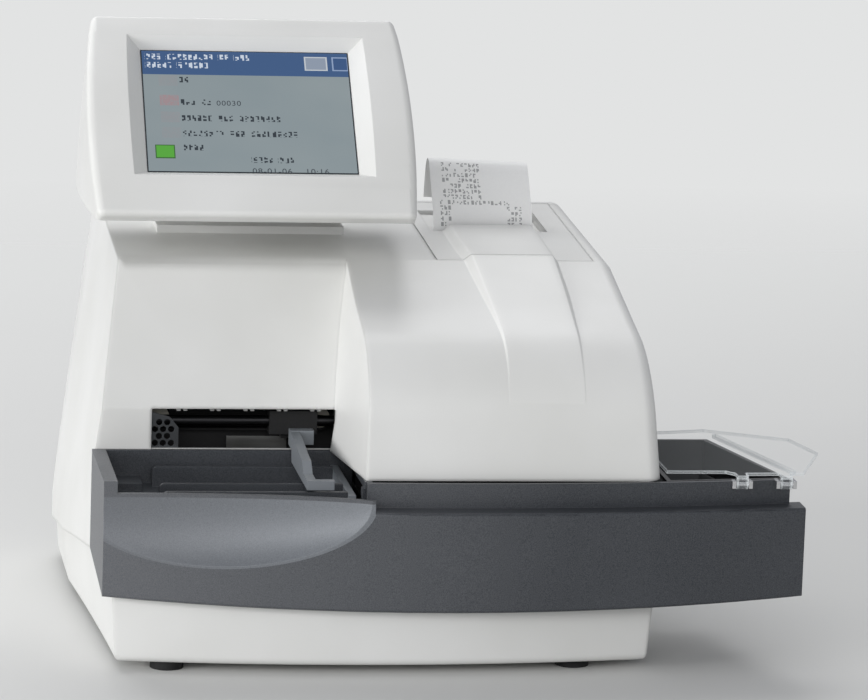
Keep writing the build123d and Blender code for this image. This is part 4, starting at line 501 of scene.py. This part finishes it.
def screen_numbers():
    """The plain numbers that the screen shows, as flat figures just proud of it."""
    ink = Finish("screen_figures", Roughness=0.4)
    ink.put("Base Color", ink.mix(ink.noise(60.0), srgb(46, 54, 62), srgb(58, 66, 74)))
    whole = bmesh.new()
    for text, left, foot, size in NUMBERS:
        curve = bpy.data.curves.new("figures", "FONT")
        curve.body = text
        curve.size = size
        curve.space_character = 1.12
        maker = bpy.data.objects.new("figures", curve)
        bpy.context.scene.collection.objects.link(maker)
        bpy.context.view_layer.update()
        flat = bpy.data.meshes.new_from_object(maker)
        for vert in flat.vertices:
            u = left + vert.co.x - SCREEN_SIZE[0] / 2
            v = SCREEN_SIZE[1] / 2 - foot + vert.co.y
            vert.co = face_point(u, v, NUMBERS_LIFT)
        whole.from_mesh(flat)
        bpy.data.meshes.remove(flat)
        bpy.data.objects.remove(maker)
        bpy.data.curves.remove(curve)
    foot_of_screen = face_point(0, 0.3 - SCREEN_SIZE[1] / 2, 0)
    cut_across(whole, foot_of_screen, FACE_UP, clear_below=True)
    figures = finish_piece("screen_numbers", whole, ink.material, "display")


screen()
screen_numbers()

# ------------------------------------------------------------------ arch
# y and z of the line that the hood and the deck follow from front to back
ARCH_FOOT = (21.0, 104.0)
ARCH_TURN = (23.8, 134.0)
ARCH_CENTRE = (73.584, 129.354)
ARCH_RADIUS = 50.0
SHOULDER = (60.896, 177.717)
DECK_FRONT = (146.6, 201.0)
DECK_BACK = (332.0, 211.0)


def arch_line(y):
    """Height of the arch and deck at y, and the way that the surface faces there."""
    if ARCH_TURN[0] < y <= SHOULDER[0]:
        out = (y - ARCH_CENTRE[0]) / ARCH_RADIUS
        return ARCH_CENTRE[1] + ARCH_RADIUS * sqrt(1 - out * out), (out, sqrt(1 - out * out))
    if y > DECK_FRONT[0]:
        (y0, z0), (y1, z1) = DECK_FRONT, DECK_BACK
    elif y > SHOULDER[0]:
        (y0, z0), (y1, z1) = SHOULDER, DECK_FRONT
    else:
        (y0, z0), (y1, z1) = ARCH_FOOT, ARCH_TURN
    span = sqrt((y1 - y0) ** 2 + (z1 - z0) ** 2)
    height = z0 + (z1 - z0) * (y - y0) / (y1 - y0)
    return height, (-(z1 - z0) / span, (y1 - y0) / span)


# the raised panel's edges: x at its foot, change on the way up, and the y and length of the change
PANEL_LEFT = (26.8, -9.4, 28.0, 150.0)
PANEL_LEFT_WALL = (1.2, 4.6, 26.0, 130.0)
PANEL_RIGHT = (68.2, 3.4, 29.0, 90.0)
PANEL_RIGHT_WALL = (1.0, 2.2, 26.0, 90.0)
PANEL_LIFT = 4.0
PANEL_FOOT, PANEL_RISE = 28.0, 190.0
PANEL_SUNK = -0.15            # its outermost points lie under the hood's surface
PANEL_SKIRT = 0.6
THIRD = 12                    # columns of points in each wall and in the flat between them
COLUMNS = 3 * THIRD + 2       # and a sunk column outside each wall


def panel_size(edge, y):
    foot, change, start, length = edge
    return foot + change * eased((y - start) / length)


def raised_panel(name, y_low, y_high, steps, body):
    """Low panel that runs down from the paper slot and dies away on the arch."""
    shape = bmesh.new()
    bmesh.ops.create_grid(shape, x_segments=COLUMNS, y_segments=steps, size=0.5)
    for vert in shape.verts:
        column = round((vert.co.x + 0.5) * COLUMNS) - 1
        y = y_low + (y_high - y_low) * (vert.co.y + 0.5) ** 1.6
        left, left_wall = panel_size(PANEL_LEFT, y), panel_size(PANEL_LEFT_WALL, y)
        right, right_wall = panel_size(PANEL_RIGHT, y), panel_size(PANEL_RIGHT_WALL, y)
        if column <= THIRD:
            share = column / THIRD
            x = left + left_wall * share
        elif column < 2 * THIRD:
            share = 1.0
            x = left + left_wall + (right - left - left_wall - right_wall) * (column - THIRD) / THIRD
        else:
            share = (3 * THIRD - column) / THIRD
            x = right - right_wall * share
        lift = PANEL_LIFT * eased((y - PANEL_FOOT) / PANEL_RISE) ** 0.62
        lift = lift * eased(share) if share > 0 else PANEL_SUNK
        z, (ny, nz) = arch_line(y)
        vert.co = at(x, y + ny * lift, z + nz * lift)
    rim = [edge for edge in shape.edges if edge.is_boundary]
    skirt = new_points(bmesh.ops.extrude_edge_only(shape, edges=rim))
    bmesh.ops.translate(shape, verts=skirt, vec=(0, 0, -PANEL_SKIRT / 1000))
    bmesh.ops.recalc_face_normals(shape, faces=shape.faces)
    panel = finish_piece(name, shape, WHITE, body, 60)


raised_panel("arch_panel", 26.0, 149.0, 90, "root")
raised_panel("cover_panel", 150.4, 224.6, 30, "printer_cover")

# ------------------------------------------------------------------ housing
KINK_ENDS = (-168.0, -44.0)
KINK_RADIUS = 9.0
KINK_TURN = radians(14)
PLATE_MIDDLE = (-96.0, 123.7, 103.0)
PLATE_SIZE = (33.0, 0.4, 8.0)


def rounded_housing():
    """The upper housing with the long kink under the display rounded."""
    shape = node_shape("upper_housing")

    def in_kink(edge):
        if not edge.is_convex or edge.calc_face_angle(0) < KINK_TURN:
            return False
        first, last = (vert.co * 1000 + ORIGIN for vert in edge.verts)
        middle, way = (first + last) / 2, last - first
        level = abs(way.normalized().x) > 0.97 and way.length > 40
        return level and middle.z > 185 and middle.x < -20

    for x in KINK_ENDS:
        cut_across(shape, at(x, 0, 0), Vector((1, 0, 0)))
    kink = [edge for edge in shape.edges if edge.is_manifold and in_kink(edge)]
    bmesh.ops.bevel(shape, geom=kink, offset=KINK_RADIUS / 1000, segments=8, profile=0.5,
                    affect="EDGES", material=-1, offset_type="OFFSET", clamp_overlap=False)
    rounded = finish_piece("housing_shell", shape, SHELL, "root", 28)
    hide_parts("upper_housing")


def bright_plate():
    """The small bright plate behind the push bar."""
    shape = bmesh.new()
    bmesh.ops.create_cube(shape, size=1.0)
    for vert in shape.verts:
        shares = zip(PLATE_MIDDLE, PLATE_SIZE, vert.co)
        vert.co = at(*(middle + size * share for middle, size, share in shares))
    finish_piece("bright_plate", shape, WORN_PLATE, "root")


rounded_housing()
bright_plate()

# ------------------------------------------------------------------ printer
# bars: x from and to, y from and to, and heights from and to over the deck line
COVER_SEAL = [(4.1, 91.9, 149.65, 150.15, -2.0, -0.25), (91.45, 91.95, 150.2, 302.0, -2.0, -0.25)]
SLOT_CHEEKS = [(11.6, 23.0, 232.0, 279.5, -3.4, -2.2), (72.4, 78.4, 229.0, 279.5, -6.4, -5.0)]


def bars(name, sizes, body):
    """Bars that follow the deck's slope, as one piece."""
    shape = bmesh.new()
    for x0, x1, y0, y1, low, high in sizes:
        made = bmesh.ops.create_cube(shape, size=1.0)
        for vert in made["verts"]:
            y = y1 if vert.co.y > 0 else y0
            z = arch_line(y)[0] + (high if vert.co.z > 0 else low)
            vert.co = at(x1 if vert.co.x > 0 else x0, y, z)
    return finish_piece(name, shape, WHITE, body)


bars("cover_seal", COVER_SEAL, "root")
bars("slot_cheeks", SLOT_CHEEKS, "printer_cover")

SLIP_EDGES = (13.5, 70.5)
# y and z of the slip, from inside the slot, up, over and down behind
SLIP_PATH = [(228.2, 195.0), (228.2, 206.0), (229.3, 215.0), (231.0, 224.0), (232.6, 232.0),
             (234.4, 238.0), (237.4, 242.2), (241.6, 243.8), (246.0, 242.4), (249.6, 238.0),
             (251.6, 232.0), (253.2, 225.5), (254.0, 219.5)]
SLIP_TOP = 8                  # the first point of the path that is past its top
SLIP_FREE_FROM, SLIP_FREE_LENGTH = 206.0, 38.0
SLIP_DRIFT = 2.6              # how far the free part leans to the left
SLIP_TWIST = (1.6, 2.4)       # how much further back its right edge is, and how much lower
UV_UNIT = 100.0               # millimetres in one unit of the slip's UV map
LINE, LETTER = 3.1, 2.25      # height of a line and width of a mark, with their gaps
LINE_INKED = 0.75             # share of a line's height that its dots fill
# printed blocks: left, right, and the numbers of the lines that they lie between
SLIP_BLOCKS = [(6.7, 29.2, 8.5, 15.5), (4.5, 45.0, 7.5, 8.5), (4.5, 11.2, 3.5, 7.5),
               (42.7, 51.7, 3.5, 7.5)]


def printed_slip():
    """Rows of marks that spell nothing, on white paper."""
    slip = Finish("printed_slip", Roughness=0.7, Specular_IOR_Level=0.2)
    sheet = slip.node("ShaderNodeUVMap", {"uv_map": "UVMap"})
    across = slip.axis(0, sheet) * UV_UNIT
    down = slip.axis(1, sheet) * UV_UNIT
    line, letter = down / LINE, across / LETTER
    row = line.floor()
    filled = slip.chance(letter.floor(), row) > 0.2
    spots = slip.chance((across / (LETTER / 3)).floor(), (down / (LINE / 4)).floor()) > 0.4
    inside = (line.fraction() < LINE_INKED) * (letter.fraction() < INKED)
    printed = 0.0
    for left, right, above, below in SLIP_BLOCKS:
        printed = printed + (across > left) * (across < right) * (row > above) * (row < below)
    ink = printed * filled * spots * inside
    fibre = slip.noise(700.0, 3.0, 0.7)
    plain = slip.mix(fibre, srgb(246, 246, 245), srgb(238, 238, 237))
    slip.put("Base Color", slip.mix(ink * 0.62, plain, srgb(84, 86, 90)))
    slip.bump(fibre, 0.15, 0.00004)
    return slip.material


def paper_slip():
    """The printed slip, up out of the slot, over and down behind, with a slight twist."""
    shape = bmesh.new()
    steps = len(SLIP_PATH) - 1
    width = SLIP_EDGES[1] - SLIP_EDGES[0]
    bmesh.ops.create_grid(shape, x_segments=6, y_segments=steps, size=0.5)
    uv = shape.loops.layers.uv.new("UVMap")
    lengths = [0.0]
    for (y0, z0), (y1, z1) in zip(SLIP_PATH, SLIP_PATH[1:]):
        lengths.append(lengths[-1] + sqrt((y1 - y0) ** 2 + (z1 - z0) ** 2))
    for face in shape.faces:
        for loop in face.loops:
            step = round((loop.vert.co.y + 0.5) * steps)
            loop[uv].uv = ((loop.vert.co.x + 0.5) * width / UV_UNIT, lengths[step] / UV_UNIT)
    for vert in shape.verts:
        share, step = vert.co.x + 0.5, round((vert.co.y + 0.5) * steps)
        y, z = SLIP_PATH[step]
        free = eased((z - SLIP_FREE_FROM) / SLIP_FREE_LENGTH) if step < SLIP_TOP else 1.0
        x = SLIP_EDGES[0] + width * share - SLIP_DRIFT * free
        y += SLIP_TWIST[0] * free * (share - 0.5)
        z -= SLIP_TWIST[1] * free * (share - 0.35)
        vert.co = at(x, y, z)
    bmesh.ops.recalc_face_normals(shape, faces=shape.faces)
    bmesh.ops.solidify(shape, geom=shape.faces[:], thickness=0.00012)
    slip = finish_piece("printed_slip", shape, printed_slip(), "root", 50)
    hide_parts("paper_strip")


paper_slip()

# ------------------------------------------------------------------ studio
FLOOR_HALF_SIZE = (5.0, 3.0)
FLOOR_BACK = -1.3
DAYLIGHT = (0.93, 0.95, 1.0, 1.0)
DAYLIGHT_STRENGTH = 0.41
BACKDROP = srgb(226, 227, 227)


def pale_floor():
    """The table under the object, which fades into the backdrop at its far edge."""
    shape = bmesh.new()
    bmesh.ops.create_grid(shape, x_segments=1, y_segments=1, size=1.0)
    bmesh.ops.scale(shape, vec=(*FLOOR_HALF_SIZE, 1.0), verts=shape.verts)
    bmesh.ops.translate(shape, vec=(0.0, FLOOR_BACK, 0.0), verts=shape.verts)
    mesh = bpy.data.meshes.new("floor")
    shape.to_mesh(mesh)
    shape.free()
    ground = Finish("pale_floor", Roughness=0.6, Specular_IOR_Level=0.25)
    ground.put("Base Color", ground.mix(ground.noise(3.0), srgb(220, 220, 218), srgb(216, 216, 214)))
    ground.put("Alpha", ground.ramp(ground.axis(1), 0.5, 1.6, 1.0, 0.0))
    mesh.materials.append(ground.material)
    plane = bpy.data.objects.new("floor", mesh)
    bpy.context.scene.collection.objects.link(plane)


def surroundings():
    """Soft daylight on the object, and a plain backdrop where the camera sees past it."""
    world = bpy.data.worlds.new("studio")
    bpy.context.scene.world = world
    world.use_nodes = True
    room = Tree(world.node_tree.nodes, world.node_tree.links)
    around = room.nodes["Background"]
    room.join(DAYLIGHT, around.inputs["Color"])
    room.join(DAYLIGHT_STRENGTH, around.inputs["Strength"])
    seen = room.node("ShaderNodeBackground", None, {"Color": BACKDROP, "Strength": 1.0})
    straight = room.node("ShaderNodeLightPath", output="Is Camera Ray")
    through = room.node("ShaderNodeLightPath", output="Is Transmission Ray")
    either = straight.maths("MAXIMUM", straight, through)
    shaders = {0: either, 1: Wire(room, around.outputs[0]), 2: seen}
    both = room.node("ShaderNodeMixShader", None, shaders)
    room.join(both, room.nodes["World Output"].inputs["Surface"])


def softbox(name, place, target, size, power):
    lamp = bpy.data.lights.new(name, "AREA")
    lamp.shape = "RECTANGLE"
    lamp.size, lamp.size_y = size
    lamp.energy = power
    holder = bpy.data.objects.new(name, lamp)
    bpy.context.scene.collection.objects.link(holder)
    way = Vector(target) - Vector(place)
    holder.location = place
    holder.rotation_euler = way.to_track_quat("-Z", "Y").to_euler()


CAMERA_PLACE = (-391.26, -2459.86, 635.41)
CAMERA_TURN, CAMERA_DIP, CAMERA_ROLL = radians(8.62), radians(10.41), radians(1.95)
FOCAL_PIXELS = 4853.62        # focal length in pixels of a picture as wide as this
PICTURE_WIDTH = 868
SENSOR_WIDTH = 36.0


def camera():
    """A long lens from the front, turned, tipped down and rolled a little."""
    ahead = Vector((sin(CAMERA_TURN) * cos(CAMERA_DIP), cos(CAMERA_TURN) * cos(CAMERA_DIP),
                    -sin(CAMERA_DIP)))
    right = Vector((cos(CAMERA_TURN), -sin(CAMERA_TURN), 0))
    up = right.cross(ahead)
    rolled_right = right * cos(CAMERA_ROLL) + up * sin(CAMERA_ROLL)
    rolled_up = up * cos(CAMERA_ROLL) - right * sin(CAMERA_ROLL)
    data = bpy.data.cameras.new("camera")
    data.sensor_fit = "HORIZONTAL"
    data.sensor_width = SENSOR_WIDTH
    data.lens = FOCAL_PIXELS * SENSOR_WIDTH / PICTURE_WIDTH
    data.clip_end = 50.0
    eye = bpy.data.objects.new("camera", data)
    bpy.context.scene.collection.objects.link(eye)
    axes = Matrix((rolled_right, rolled_up, -ahead)).transposed().to_4x4()
    eye.matrix_world = Matrix.Translation(at(*CAMERA_PLACE)) @ axes
    bpy.context.scene.camera = eye


pale_floor()
surroundings()
softbox("window", place=(-2.9, -1.1, 0.6), target=(0, -0.1, 0.14), size=(1.4, 0.8), power=54.0)
softbox("front", place=(-0.9, -3.0, 1.25), target=(0, 0, 0.14), size=(2.6, 0.9), power=30.0)
softbox("behind", place=(-0.4, 1.5, 2.1), target=(0, 0, 0.05), size=(2.2, 1.6), power=33.0)
camera()
bpy.context.scene.view_settings.view_transform = "Standard"
